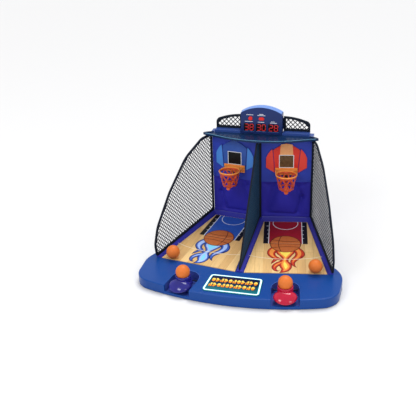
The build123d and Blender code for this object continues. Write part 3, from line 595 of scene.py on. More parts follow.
def smooth_stations(stations, steps=8):
    """Catmull-Rom curve through (u, v, half width) stations."""
    pts = [Vector(p) for p in stations]
    pts = [pts[0] * 2 - pts[1]] + pts + [pts[-1] * 2 - pts[-2]]
    out = []
    for p0, p1, p2, p3 in zip(pts, pts[1:], pts[2:], pts[3:]):
        for i in range(steps):
            t = i / steps
            out.append(0.5 * (2 * p1 + (p2 - p0) * t + (2 * p0 - 5 * p1 + 4 * p2 - p3) * t ** 2
                              + (3 * p1 - p0 - 3 * p2 + p3) * t ** 3))
    return out + [pts[-2]]


def flame(name, lane, layer, inset, lift, material):
    """One colour of the flame: every tongue, drawn inset millimetres inside its outline."""
    bm = bmesh.new()
    for k, (colours, stations) in enumerate(TONGUES):
        if layer >= colours:
            continue
        track = [p for p in smooth_stations(stations) if p.z > inset + 0.05 or not inset]
        points = [(p.x * lane.side, p.y) for p in track]
        widths = [max(0.05, p.z - inset) for p in track]
        widths[-1] = 0.05
        stroke(bm, points, widths, lift + k * 0.004 * MM, lane)
    turn_faces(bm, UP)
    return piece(name, bm, material, "machine", smooth=False, recalc=False)


INKS = {
    "right": {"key": ("a8202a", "8c1820"), "out": ("8c1a18", "701214"), "mid": ("cc4424", "b8301c"),
              "in": ("f09a48", "e88838"), "core": ("fbe468", "f8d650")},
    "left": {"key": ("3464c8", "2448a0"), "out": ("182662", "121c50"), "mid": ("4068c8", "2e50ac"),
             "in": ("b4ccf6", "98b6ee"), "core": ("8cdcfa", "74ccf2")},
}


class HOOP_OT_courts(Step, bpy.types.Operator):
    """Print the two courts: planks, key, lines, emblem and flames"""
    bl_idname = "hoop.courts"
    bl_label = "Courts"

    def build(self):
        for side, lane in LANES.items():
            paint(printed_maple(f"Printed maple {side}", side), f"court_{side}")
            colours = INKS[side]
            made = {key: ink(f"{key} ink {side}", *pair, patch_mm=5.0) for key, pair in colours.items()}
            self.key(side, lane, made["key"])
            self.flames(side, lane, made)
            self.emblem(side, lane)
            three = [[(-76, 61), (-70, 61)] + bezier([(-70, 61), (-40, 46), (40, 46), (70, 61)], 28)
                     + [(76, 61)]]
            line_drawing(f"three_point_line_{side}", three, finish("cream ink"), lane, 5 * LAYER, 0.7)

    def key(self, side, lane, colour):
        box = [(-KEY_HALF, KEY_V0), (KEY_HALF, KEY_V0), (KEY_HALF, KEY_V1), (-KEY_HALF, KEY_V1)]
        flat_shape(f"key_{side}", [box], colour, lane, LAYER)
        bars = [[(s * BAR_INNER, KEY_V0), (s * BAR_OUTER, KEY_V0), (s * BAR_OUTER, KEY_V1),
                 (s * BAR_INNER, KEY_V1)] for s in (-1, 1)]
        flat_shape(f"key_bars_{side}", bars, finish("black ink"), lane, LAYER)
        edge = KEY_HALF + LINE
        lines = [[(s * edge, KEY_V0), (s * edge, KEY_V1)] for s in (-1, 1)]
        for s in (-1, 1):
            for v, reach in ((133, 3.2), (149, 3.2), (166, 3.2), (184, 5.5)):
                lines.append([(s * (BAR_INNER - 0.4), v), (s * (BAR_INNER + reach), v)])
        lines.append(arc_points(0, 197, 27.5, pi - 0.22, 2 * pi + 0.22, 34))
        line_drawing(f"key_lines_{side}", lines, finish("white ink"), lane, 2 * LAYER)

    def flames(self, side, lane, made):
        for i, (key, inset) in enumerate((("out", 0.0), ("mid", 2.1), ("in", 4.9), ("core", 9.0))):
            flame(f"flame_{key}_{side}", lane, i, inset, (1 + i) * LAYER, made[key])

    def emblem(self, side, lane):
        disc = [arc_points(0, EMBLEM_V, EMBLEM_R, 0, 2 * pi * 59 / 60, 60)]
        leather = ink(f"Printed leather {side}", "ce763a", "a45226", patch_mm=3.5)
        flat_shape(f"emblem_{side}", disc, leather, lane, 6 * LAYER)
        r, v = EMBLEM_R, EMBLEM_V
        seams = [[(-r, v), (r, v)],
                 bezier([(-0.25 * r, v + 0.97 * r), (-0.62 * r, v), (-0.25 * r, v - 0.97 * r)], 24),
                 bezier([(-0.86 * r, v + 0.5 * r), (0.2 * r, v + 0.12 * r), (0.9 * r, v + 0.42 * r)], 24),
                 bezier([(-0.86 * r, v - 0.5 * r), (0.2 * r, v - 0.2 * r), (0.9 * r, v - 0.42 * r)], 24)]
        seams.append(arc_points(0, v, r - 0.6, 0, 2 * pi, 60))
        line_drawing(f"emblem_seams_{side}", seams, ink(f"Seam ink {side}", "4a1c10", "3a150c"), lane,
                     7 * LAYER, 0.7)
        glow = [[(-r + 2, v + 2.2), (r - 2, v + 2.2)]]
        line_drawing(f"emblem_shine_{side}", glow, ink(f"Shine ink {side}", "e8a070", "dc8c58"), lane,
                     7 * LAYER, 0.6)


# ---------------------------------------------------------------- back wall

# Creases where the cloth is drawn back to the wall: two ends as shares of its width and height, then the
# crease's width as such a share and its depth in millimetres.
CREASES = (((0.33, 0.97), (0.13, 0.16), 0.075, 3.4), ((0.68, 0.97), (0.83, 0.55), 0.06, 2.8),
           ((0.83, 0.55), (0.76, 0.14), 0.05, 3.0), ((0.16, 0.10), (0.72, 0.07), 0.04, 1.8),
           ((0.05, 0.93), (0.30, 0.80), 0.05, 1.4), ((0.95, 0.93), (0.72, 0.82), 0.05, 1.4))
HEM_HEIGHT, HEM_STEP = 0.055, 0.7
CREASE_DEPTH = 1.5
# Edges of a lane's cloth across the lane, in millimetres.
CLOTH_INNER, CLOTH_OUTER, CLOTH_TUCK = -55.3, 53.6, 2 * MM
# Navy binding on the wall's edges: name, place across the lane and radius in millimetres.
BINDINGS = (("outer", 55.0, 1.6), ("inner", -56.6, 1.6), ("middle", -60.0, 2.0))

def off_line(point, start, end):
    """Distance from a point to a stretch of line."""
    p, a, b = Vector(point), Vector(start), Vector(end)
    run = b - a
    t = max(0.0, min(1.0, (p - a).dot(run) / run.length_squared))
    return (p - a - run * t).length


class HOOP_OT_wall(Step, bpy.types.Operator):
    """Back panels, cloth curtains and their hems"""
    bl_idname = "hoop.wall"
    bl_label = "Back wall and curtains"

    def build(self):
        paint(finish("panel"), "back_panel_left", "back_panel_right", "switch_covers", "panel_screws")
        paint(finish("post"), "rear_posts")
        paint(finish("black"), "score_switches")
        for side, lane in LANES.items():
            self.curtain(side, lane)
            self.binding(side, lane)

    def binding(self, side, lane):
        """Navy binding down both edges of a lane's back wall."""
        z0, z1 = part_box(f"curtain_{side}")[0][2] / MM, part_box(f"back_panel_{side}")[1][2] / MM
        for name, u, radius in BINDINGS:
            line = [wall_point(lane, u, z0 + (z1 - z0) * i / 8, 1.0 * MM) for i in range(9)]
            strands(f"wall_binding_{name}_{side}", [line], radius * MM, finish("piping"), "machine",
                    sides=10)

    def curtain(self, side, lane):
        low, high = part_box(f"curtain_{side}")
        z0, z1 = low[2], high[2] + CLOTH_TUCK
        half_in, half_out = CLOTH_INNER * MM, CLOTH_OUTER * MM
        across, up = 72, 60
        bm = bmesh.new()
        grid = []
        for j in range(up + 1):
            h = j / up
            row = []
            for i in range(across + 1):
                w = i / across
                u = half_in + (half_out - half_in) * w
                body = min(1.0, 9 * w, 9 * (1 - w)) * min(1.0, 12 * h, 14 * (1 - h))
                push = 2.2 * sin(pi * w) * sin(pi * h)
                for start, end, width, depth in CREASES:
                    push -= CREASE_DEPTH * depth * np.exp(-(off_line((w, h), start, end) / width) ** 2)
                push += 1.3 * noise.noise(Vector((w * 4.0, h * 1.7, lane.side * 3.1)))
                push += 0.5 * noise.noise(Vector((w * 12.0, h * 5.0, lane.side * 7.7)))
                push = push * body + HEM_STEP * (h < HEM_HEIGHT)
                point = lane.wall + lane.across * (u * lane.side) - lane.depth * (push * MM - 1.6 * MM)
                row.append(bm.verts.new((point.x, point.y, z0 + (z1 - z0) * h)))
            grid.append(row)
        for j in range(up):
            for i in range(across):
                quad = (grid[j][i], grid[j][i + 1], grid[j + 1][i + 1], grid[j + 1][i])
                bm.faces.new(quad if lane.side > 0 else quad[::-1])
        cloth = piece(f"curtain_cloth_{side}", bm, finish("curtain"), "machine",
                      stands_for=[f"curtain_{side}"], recalc=False)
        thick = cloth.modifiers.new("Cloth thickness", "SOLIDIFY")
        thick.thickness = 0.8 * MM
        thick.offset = 0


# ---------------------------------------------------------------- backboards, hoops, baskets

def wall_point(lane, u, z, out):
    """Point on a lane's back wall, out metres in front of it."""
    p = lane.wall + lane.across * (u * MM * lane.side) - lane.depth * out
    return Vector((p.x, p.y, z * MM))


def wall_shape(name, rings, material, lane, out, body="machine"):
    """Thin printed or moulded layer on the backboard: outlines in (u, z)."""
    bm = bmesh.new()
    for ring in rings:
        verts = [bm.verts.new(wall_point(lane, u, z, out)) for u, z in ring]
        bm.faces.new(verts)
    turn_faces(bm, -lane.depth)
    return piece(name, bm, material, body, smooth=False, recalc=False)


BOARD_OUT = 2.5 * MM
WINDOW = (-16.0, 165.0, 16.0, 194.5)


# Places across the board where a wing's arched edge is drawn.
WING_RIM = (30.5, 32, 33.5, 35, 36.5, 38, 39.5, 40.8, 42, 42.8, 43.4)


def rim_height(u):
    """Height of the backboard's arched top at u."""
    radius = (44.0 ** 2 + 33.0 ** 2) / (2 * 33.0)
    return 220.0 - radius + sqrt(radius ** 2 - u ** 2)


class HOOP_OT_boards(Step, bpy.types.Operator):
    """Backboards with their printed panels and target windows"""
    bl_idname = "hoop.boards"
    bl_label = "Backboards"

    def build(self):
        tones = {"right": ("e23a2c", "e4463a", "cc2e26"), "left": ("3a62b8", "4a8ade", "2c4c9c")}
        for side, lane in LANES.items():
            main, outer, dark = tones[side]
            paint(ink(f"Backboard {side}", main, dark, patch_mm=14.0, roughness=0.3), f"backboard_{side}")
            self.stripes(side, lane, outer)
            self.window(side, lane)

    def stripes(self, side, lane, outer):
        """Outer panels, the middle strip and thin dividing lines."""
        wings = []
        for s in (-1, 1):
            top = [(s * u, rim_height(u) - 0.8) for u in WING_RIM]
            wings.append(top + [(s * 43.4, 165.4), (s * 27.5, 155.2)])
        wall_shape(f"board_wings_{side}", wings, ink(f"Board wing {side}", outer, patch_mm=10), lane,
                   BOARD_OUT + LAYER)
        lines = [[(s * 29.0, rim_height(29)), (s * 30.2, rim_height(30.2)), (s * 25.2, 154.2),
                  (s * 24.0, 154.2)] for s in (-1, 1)]
        wall_shape(f"board_lines_{side}", lines, ink(f"Board line {side}", "1c2470", "151b5a"), lane,
                   BOARD_OUT + 2 * LAYER)
        if side == "right":
            strip = [(u, rim_height(u) - 0.5) for u in (-12.5, -6, 0, 6, 12.5)]
            strip += [(16.5, 165.5), (-16.5, 165.5)]
            wall_shape("board_strip_right", [strip], ink("Printed wood strip", "f2b07c", "e0985c", 4.0),
                       lane, BOARD_OUT + LAYER)

    def window(self, side, lane):
        u0, z0, u1, z1 = WINDOW
        w = 1.3
        frame_ring = [[(u0, z0), (u1, z0), (u1, z0 + w), (u0, z0 + w)],
                      [(u0, z1 - w), (u1, z1 - w), (u1, z1), (u0, z1)],
                      [(u0, z0 + w), (u0 + w, z0 + w), (u0 + w, z1 - w), (u0, z1 - w)],
                      [(u1 - w, z0 + w), (u1, z0 + w), (u1, z1 - w), (u1 - w, z1 - w)]]
        wall_shape(f"window_border_{side}", frame_ring, finish("white ink"), lane, BOARD_OUT + 3 * LAYER)
        pane = [[(u0 + w, z0 + w), (u1 - w, z0 + w), (u1 - w, z1 - w), (u0 + w, z1 - w)]]
        if side == "left":
            material = finish("smoke")
        else:
            # The right pane is drawn brown, where the left one is black smoke.
            material = ink("Brown smoked pane", "7a5a34", "33241a", 6.0, 0.2)
        wall_shape(f"window_pane_{side}", pane, material, lane, BOARD_OUT + 1.5 * LAYER)


def strand_tree():
    """Geometry Nodes: thickens thread lines into round strands."""
    tree = bpy.data.node_groups.new("Strand skin", "GeometryNodeTree")
    face = tree.interface
    face.new_socket("Geometry", in_out="INPUT", socket_type="NodeSocketGeometry")
    face.new_socket("Strand radius", in_out="INPUT", socket_type="NodeSocketFloat")
    face.new_socket("Strand sides", in_out="INPUT", socket_type="NodeSocketInt")
    face.new_socket("Thickness ratio", in_out="INPUT", socket_type="NodeSocketFloat")
    face.new_socket("Finish", in_out="INPUT", socket_type="NodeSocketMaterial")
    face.new_socket("Geometry", in_out="OUTPUT", socket_type="NodeSocketGeometry")
    start = add(tree, "NodeGroupInput")
    line = add(tree, "GeometryNodeMeshToCurve", {"Mesh": start.outputs["Geometry"]})
    ring = add(tree, "GeometryNodeCurvePrimitiveCircle", {"Resolution": start.outputs["Strand sides"],
                                                          "Radius": start.outputs["Strand radius"]})
    size = add(tree, "ShaderNodeCombineXYZ", {"X": start.outputs["Thickness ratio"], "Y": 1.0, "Z": 1.0})
    flat = add(tree, "GeometryNodeTransform", {"Geometry": ring.outputs["Curve"],
                                               "Scale": size.outputs["Vector"]})
    level = add(tree, "GeometryNodeSetCurveNormal", {"Curve": line.outputs["Curve"]}, mode="Z_UP")
    skin = add(tree, "GeometryNodeCurveToMesh", {"Curve": level.outputs["Curve"],
                                                 "Profile Curve": flat.outputs["Geometry"],
                                                 "Fill Caps": True})
    real = add(tree, "GeometryNodeRealizeInstances", {"Geometry": skin.outputs["Mesh"]})
    done = add(tree, "GeometryNodeSetMaterial", {"Geometry": real.outputs["Geometry"],
                                                 "Material": start.outputs["Finish"]})
    add(tree, "NodeGroupOutput", {"Geometry": done.outputs["Geometry"]})
    return tree


def grown(name, mesh, tree, values, body, stands_for=(), smooth=True):
    """Run a Geometry Nodes tree on a mesh and keep the result as a plain piece."""
    source = bpy.data.objects.new(name + "_source", mesh)
    bpy.context.scene.collection.objects.link(source)
    modifier = source.modifiers.new("Grow", "NODES")
    modifier.node_group = tree
    for item in tree.interface.items_tree:
        if item.in_out == "INPUT" and item.name in values:
            modifier[item.identifier] = values[item.name]
    bpy.context.view_layer.update()
    graph = bpy.context.evaluated_depsgraph_get()
    made = bpy.data.meshes.new_from_object(source.evaluated_get(graph), depsgraph=graph)
    source.modifiers.clear()
    bpy.data.objects.remove(source)
    made.name = name
    made.polygons.foreach_set("use_smooth", [smooth] * len(made.polygons))
    obj = bpy.data.objects.new(name, made)
    bpy.context.scene.collection.objects.link(obj)
    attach(obj, body)
    if stands_for:
        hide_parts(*stands_for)
    return obj


def polylines(name, lines):
    """Mesh of bare edges from lists of points."""
    verts, edges = [], []
    for line in lines:
        first = len(verts)
        verts += [tuple(p) for p in line]
        edges += [(first + i, first + i + 1) for i in range(len(line) - 1)]
    mesh = bpy.data.meshes.new(name + "_lines")
    mesh.from_pydata(verts, edges, [])
    return mesh


STRAND_TREE = None


def strands(name, lines, radius, material, body, stands_for=(), sides=6, thickness=1.0):
    global STRAND_TREE
    if STRAND_TREE is None:
        STRAND_TREE = strand_tree()
    values = {"Strand radius": radius, "Strand sides": sides, "Thickness ratio": thickness,
              "Finish": material}
    return grown(name, polylines(name, lines), STRAND_TREE, values, body, stands_for)


# Cross-section of a basket's band: a flat strip with rounded edges, in half widths and half thicknesses.
BAND_PROFILE = ((-1, -0.5), (-0.8, -1), (0.8, -1), (1, -0.5), (1, 0.5), (0.8, 1), (-0.8, 1), (-1, 0.5))
BASKET_TOP, BASKET_LOW = 158.2 * MM, 130.0 * MM
BASKET_WIDE, BASKET_NARROW = 21.6 * MM, 15.6 * MM
BASKET_BANDS = 7


def basket_point(lane, angle, drop):
    """Point and outward direction on the basket's cone, drop running from 0 at the ring to 1."""
    radius = BASKET_WIDE + (BASKET_NARROW - BASKET_WIDE) * drop
    outward = lane.across * cos(angle) + lane.depth * sin(angle)
    point = lane.hoop + outward * radius
    point.z = BASKET_TOP + (BASKET_LOW - BASKET_TOP) * drop
    return point, outward


def band(bm, lane, path, half, thick=0.6, closed=False):
    """Flat plastic band with rounded edges on the basket's cone; path holds (angle, drop)."""
    spots = [basket_point(lane, *p) for p in path]
    rings = []
    for i, (point, outward) in enumerate(spots):
        if closed:
            ahead = spots[(i + 1) % len(spots)][0] - spots[i - 1][0]
        else:
            ahead = spots[min(i + 1, len(spots) - 1)][0] - spots[max(i - 1, 0)][0]
        side = ahead.cross(outward).normalized()
        out = side.cross(ahead).normalized()
        ring = []
        for a, b in BAND_PROFILE:
            ring.append(point + side * (a * half * MM) + out * (b * thick * MM))
        rings.append(ring)
    loops = loft(bm, rings, close_ends=not closed)
    if closed:
        for i in range(len(BAND_PROFILE)):
            k = (i + 1) % len(BAND_PROFILE)
            bm.faces.new((loops[-1][i], loops[-1][k], loops[0][k], loops[0][i]))


class HOOP_OT_hoops(Step, bpy.types.Operator):
    """Hoops, plastic baskets and scoring paddles"""
    bl_idname = "hoop.hoops"
    bl_label = "Hoops and baskets"

    def build(self):
        for side, lane in LANES.items():
            paint(finish("hoop"), f"hoop_{side}")
            paint(finish("basket"), f"score_paddle_{side}")
            self.basket(side, lane)

    def basket(self, side, lane):
        """Moulded basket: flat bands that cross on a cone, with a scalloped lower edge."""
        bm = bmesh.new()
        step = 2 * pi / BASKET_BANDS
        for k in range(BASKET_BANDS):
            start = k * step + pi / 2
            for lean in (-1, 1):
                band(bm, lane, [(start + lean * step * t, t) for t in (i / 12 for i in range(13))], 1.45)
            band(bm, lane, [(start + step * (i / 10 - 0.5), 0.93 + 0.11 * cos(pi * (i / 10 - 0.5)))
                            for i in range(11)], 1.7)
        band(bm, lane, [(2 * pi * i / 60, 0.015) for i in range(60)], 1.6, closed=True)
        piece(f"basket_bands_{side}", bm, finish("basket"), "machine", stands_for=[f"basket_{side}"])


# ---------------------------------------------------------------- nets

def sheet_outline(node, part=None):
    """Upright plane of a thin CAD sheet: its middle, its level axis and its convex outline in the plane."""
    mesh = frame["nodes"][node].data
    points = np.array([v.co[:] for v in mesh.vertices])
    if part is not None:
        points = points[points[:, 0] * part > 0]
    middle = points.mean(axis=0)
    _, vectors = np.linalg.eigh(np.cov((points - middle).T))
    normal = Vector(vectors[:, 0])
    along = UP.cross(normal).normalized()
    if along.y > 0 and abs(along.y) > 0.3 or abs(along.y) <= 0.3 and along.x < 0:
        along = -along
    flat = [(Vector(p - middle).dot(along), Vector(p - middle).dot(UP)) for p in points]
    return Vector(middle), along, hull(flat)


def hull(points):
    """Convex hull, counter-clockwise."""
    points = sorted(set((round(x, 6), round(y, 6)) for x, y in points))

    def half(seq):
        out = []
        for p in seq:
            while len(out) > 1:
                a, b = out[-2], out[-1]
                if (b[0] - a[0]) * (p[1] - a[1]) - (b[1] - a[1]) * (p[0] - a[0]) > 0:
                    break
                out.pop()
            out.append(p)
        return out[:-1]
    return half(points) + half(points[::-1])


def clip_line(point, direction, outline):
    """Part of an infinite line inside a convex counter-clockwise outline, or None."""
    low, high = -10.0, 10.0
    for a, b in zip(outline, outline[1:] + outline[:1]):
        nx, ny = -(b[1] - a[1]), b[0] - a[0]
        away = (point[0] - a[0]) * nx + (point[1] - a[1]) * ny
        rate = direction[0] * nx + direction[1] * ny
        if abs(rate) < 1e-12:
            if away < 0:
                return None
            continue
        t = -away / rate
        if rate > 0:
            low = max(low, t)
        else:
            high = min(high, t)
    return (low, high) if high - low > 1e-3 else None


def net_threads(node, width, height, part=None, bow=0.0):
    """Crossing threads of a diamond mesh cut to a CAD sheet's outline."""
    middle, along, outline = sheet_outline(node, part)
    normal = along.cross(UP)
    lines = []
    reach = max(abs(x) + abs(y) * width / height for x, y in outline)
    count = int(reach / (2 * width)) + 1
    for sign in (-1, 1):
        direction = Vector((width * sign, height)).normalized()
        for i in range(-count, count + 1):
            start = (i * 2 * width, 0.0)
            span = clip_line(start, direction, outline)
            if not span:
                continue
            steps = max(2, int((span[1] - span[0]) / (width * 3)))
            line = []
            for k in range(steps + 1):
                t = span[0] + (span[1] - span[0]) * k / steps
                x, y = start[0] + direction[0] * t, start[1] + direction[1] * t
                edge = min(k, steps - k) / steps * 2
                push = bow * edge * noise.noise(Vector((x * 14, y * 14, 0.5)))
                line.append(middle + along * x + UP * y + normal * push)
            lines.append(line)
    area = abs(sum(a[0] * b[1] - b[0] * a[1] for a, b in zip(outline, outline[1:] + outline[:1]))) / 2
    xs, ys = [p[0] for p in outline], [p[1] for p in outline]
    return lines, (max(xs) - min(xs), max(ys) - min(ys)), area


# A thread's thickness as a share of its width, and the widths of the two finer meshes' threads.
THREAD_FLATNESS = 0.55
DIVIDER_THREAD, WING_THREAD = 1.16 * MM, 2.1 * MM
# Limits on the area worked out for a net: a share of its outline, and a share of its flat size.
COVER_LIMIT, AREA_FLOOR = 0.98, 0.305
# Radii of the piping over the wire frames.
SIDE_PIPING, WING_PIPING, DIVIDER_PIPING = 1.9 * MM, 1.7 * MM, 1.5 * MM


class HOOP_OT_nets(Step, bpy.types.Operator):
    """Side nets, divider net, wing meshes and their piped frames"""
    bl_idname = "hoop.nets"
    bl_label = "Nets and frames"

    def build(self):
        paint(finish("piping"), "side_net_frame_left", "side_net_frame_right", "divider_frame",
              "wing_frames")
        s = settings()
        sleeves = [(f"side_net_sleeve_{side}", f"side_net_{side}", None, SIDE_PIPING) for side in SIDES]
        sleeves += [(f"wing_sleeve_{side}", "wing_meshes", SIDES[side], WING_PIPING) for side in SIDES]
        sleeves.append(("divider_sleeve", "divider_net", None, DIVIDER_PIPING))
        for name, node, part, radius in sleeves:
            middle, along, outline = sheet_outline(node, part)
            edge = [middle + along * x + UP * y for x, y in outline + outline[:1]]
            strands(name, [edge], radius, finish("piping"), "machine", sides=10)
        (_, y0, z0), (_, y1, z1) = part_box("wing_meshes")
        for side, way in SIDES.items():
            x = way * (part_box("scoreboard_back")[1][0] + 0.9 * MM)
            post = [(x, (y0 + y1) / 2, z0), (x, (y0 + y1) / 2, z1)]
            strands(f"wing_post_{side}", [post], WING_PIPING, finish("piping"), "machine", sides=10)
        for side in SIDES:
            lines, flat, area = net_threads(f"side_net_{side}", s.diamond, s.diamond, bow=1.2 * MM)
            net = strands(f"side_net_mesh_{side}", lines, s.thread / 2, finish("thread"), "machine",
                          [f"side_net_{side}"], thickness=THREAD_FLATNESS)
            self.declare(net, flat, area, s.thread, s.diamond, [f"side_net_frame_{side}"])
        d = s.divider_diamond
        lines, flat, area = net_threads("divider_net", d, d, bow=0.8 * MM)
        net = strands("divider_mesh", lines, DIVIDER_THREAD / 2, finish("divider thread"), "machine",
                      ["divider_net"], sides=4, thickness=THREAD_FLATNESS)
        self.declare(net, flat, area, DIVIDER_THREAD, d, ["divider_frame"])
        w = s.wing_diamond
        lines, area = [], 0.0
        for part in (-1, 1):
            cut, flat, one_area = net_threads("wing_meshes", w, w, part)
            lines += cut
            area += one_area
        wings = strands("wing_mesh_strands", lines, WING_THREAD / 2, finish("thread"), "machine",
                        ["wing_meshes"], thickness=THREAD_FLATNESS)
        self.declare(wings, (2 * flat[0], flat[1]), area, WING_THREAD, w, ["wing_frames"])

    def declare(self, net, flat, area, thread, diamond, frames):
        """Work out a net's area from its threads, not from the area it was cut to; the figure is not kept.

        The figure is half the skin of the round strands, found from the same thread and diamond as the
        mesh, so it follows the mesh by construction rather than measuring it. The measured share comes out
        near 1 by construction and is no separate evidence.
        """
        half_round = thread * pi / 4 * (1 + THREAD_FLATNESS)
        covered = 2 * half_round / (sqrt(2) * diamond)
        area = max(area * min(COVER_LIMIT, covered), AREA_FLOOR * flat[0] * flat[1])


# ---------------------------------------------------------------- top

# Lit bars of each number, in the order a to g.
SEGMENTS = {"0": (1, 1, 1, 1, 1, 1, 0), "2": (1, 1, 0, 1, 1, 0, 1), "3": (1, 1, 1, 1, 0, 0, 1),
            "8": (1, 1, 1, 1, 1, 1, 1)}
DIGIT_PITCH, DIGIT_SLANT = 10.8 * MM, 0.05
# Caption bars on the scoreboard's face in millimetres: middle x, middle z and length.
CAPTION_BARS = ((-24.5, 277.0, 15), (0.5, 278.8, 9), (0.5, 276.2, 17), (-26.6, 262.2, 17),
                (0, 261.6, 14), (25.5, 263.4, 8), (26.6, 260.8, 15))
CAPTION_HEIGHT = 1.0
# The hood's front edge in millimetres: a bow between two tips that sweep back.
HOOD_BOW_HALF, HOOD_BOW_DEPTH, HOOD_BOW_Y, HOOD_EDGE_Z = 77.0, 15.0, 96.5, 236.6
HOOD_TIPS = [(105, 123.5), (113, 126.6), (119.5, 129.6)]


class HOOP_OT_top(Step, bpy.types.Operator):
    """Hood, header beam, scoreboard, digits and buttons"""
    bl_idname = "hoop.top"
    bl_label = "Hood and scoreboard"

    def build(self):
        paint(finish("header"), "header_beam")
        # The scoreboard case carries a painted highlight on its upward faces.
        paint(finish("case with painted top highlight"), "scoreboard_front", "scoreboard_back")
        paint(finish("hood"), "hood")
        self.hood_edge()
        paint(finish("smoke"), "display_lens")
        paint(finish("digit off"), "display_modules")
        paint(finish("green board"), "scoreboard_circuit")
        paint(finish("black"), "speaker")
        paint(finish("button"), "game_button", "start_button")
        self.digits()
        self.labels()

    def hood_edge(self):
        """Painted highlight: a bright strand along the front edge of the clear hood."""
        radius = (HOOD_BOW_HALF ** 2 + HOOD_BOW_DEPTH ** 2) / (2 * HOOD_BOW_DEPTH)
        front = [(x, HOOD_BOW_Y + radius - sqrt(radius ** 2 - x ** 2)) for x in range(-77, 78, 7)]
        line = [(-x, y) for x, y in reversed(HOOD_TIPS)] + front + HOOD_TIPS
        edge = [(x * MM, (y - 0.15) * MM, HOOD_EDGE_Z * MM) for x, y in line]
        strands("hood_edge_highlight_line", [edge], 0.75 * MM, finish("hood edge highlight"), "machine")

    def digits(self):
        """Seven-segment numbers in front of the smoked window."""
        face_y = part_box("display_lens")[0][1] - 0.25 * MM
        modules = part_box("display_modules")
        pitch = (modules[1][0] - modules[0][0] - 24 * MM) / 2
        lit, unlit = bmesh.new(), bmesh.new()
        z_mid = (modules[0][2] + modules[1][2]) / 2
        for window, text in enumerate(("38", "30", "28")):
            for spot, char in enumerate(text):
                x = (window - 1) * pitch + (spot - 0.5) * DIGIT_PITCH
                for segment, on in zip("abcdefg", SEGMENTS[char]):
                    self.segment(lit if on else unlit, segment, x, z_mid, face_y)
        piece("digits_lit", lit, finish("digit"), "machine", smooth=False)
        piece("digits_unlit", unlit, finish("digit off"), "machine", smooth=False)

    def segment(self, bm, key, x, z, y):
        half_w, half_h, t = 3.6 * MM, 6.6 * MM, 0.78 * MM
        spots = {"a": (0, half_h, 0), "g": (0, 0, 0), "d": (0, -half_h, 0), "f": (-half_w, half_h / 2, 1),
                 "b": (half_w, half_h / 2, 1), "e": (-half_w, -half_h / 2, 1), "c": (half_w, -half_h / 2, 1)}
        dx, dz, upright = spots[key]
        length = (half_h / 2 if upright else half_w) - 0.35 * MM
        ring = [(-length, 0), (-length + t, t), (length - t, t), (length, 0), (length - t, -t),
                (-length + t, -t)]
        points = []
        for a, b in ring:
            px, pz = (b, a) if upright else (a, b)
            points.append((x + dx + px + DIGIT_SLANT * (dz + pz), z + dz + pz))
        slab(bm, points, y - 0.3 * MM, y + 0.1 * MM)

    def labels(self):
        """Plain white bars where such a toy has its captions."""
        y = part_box("scoreboard_front")[0][1] - 0.12 * MM
        bm = bmesh.new()
        for x, z, length in CAPTION_BARS:
            x0, x1 = (x - length / 2) * MM, (x + length / 2) * MM
            z0, z1 = (z - CAPTION_HEIGHT / 2) * MM, (z + CAPTION_HEIGHT / 2) * MM
            slab(bm, [(x0, z0), (x1, z0), (x1, z1), (x0, z1)], y, y + 0.2 * MM)
        piece("scoreboard_caption_bars", bm, finish("white ink"), "machine", smooth=False)


# ---------------------------------------------------------------- badge, launchers, balls

def above(ring, y):
    """Part of a convex outline above a height."""
    out = []
    for a, b in zip(ring, ring[1:] + ring[:1]):
        if a[1] >= y:
            out.append(a)
        if (a[1] >= y) != (b[1] >= y):
            t = (y - a[1]) / (b[1] - a[1])
            out.append((a[0] + (b[0] - a[0]) * t, y))
    return out


# Plain convex marks on the badge, each within a unit square, counter-clockwise.
DISC = [(cos(2 * pi * i / 20), sin(2 * pi * i / 20)) for i in range(20)]
ARROW_HIGH = [(-1, 0.1), (0.2, 0.0), (1, 0.0), (-0.1, 1), (-1, 1)]
ARROW_LOW = [(-1, -1), (-0.1, -1), (1, 0.0), (0.2, 0.0), (-1, -0.1)]
STEPS_UP = [[(-1, -1), (-0.3, -1), (-0.3, 0.2), (-1, 0.2)], [(-0.1, -1), (0.9, -1), (0.9, 1), (-0.1, 1)]]
TILES = [[DISC], [ARROW_HIGH, ARROW_LOW], STEPS_UP, [ARROW_HIGH, ARROW_LOW], [DISC], STEPS_UP]


# Centres of the plate's rounded corners, in millimetres.
BADGE_CORNERS = ((48, -151.5), (45, -105.5), (-45, -105.5), (-48, -151.5))
BADGE_RADIUS = 8.0
TILE_PITCH, TILE_HALF, TILE_HALF_HEIGHT = 8.3, 3.5, 6.2


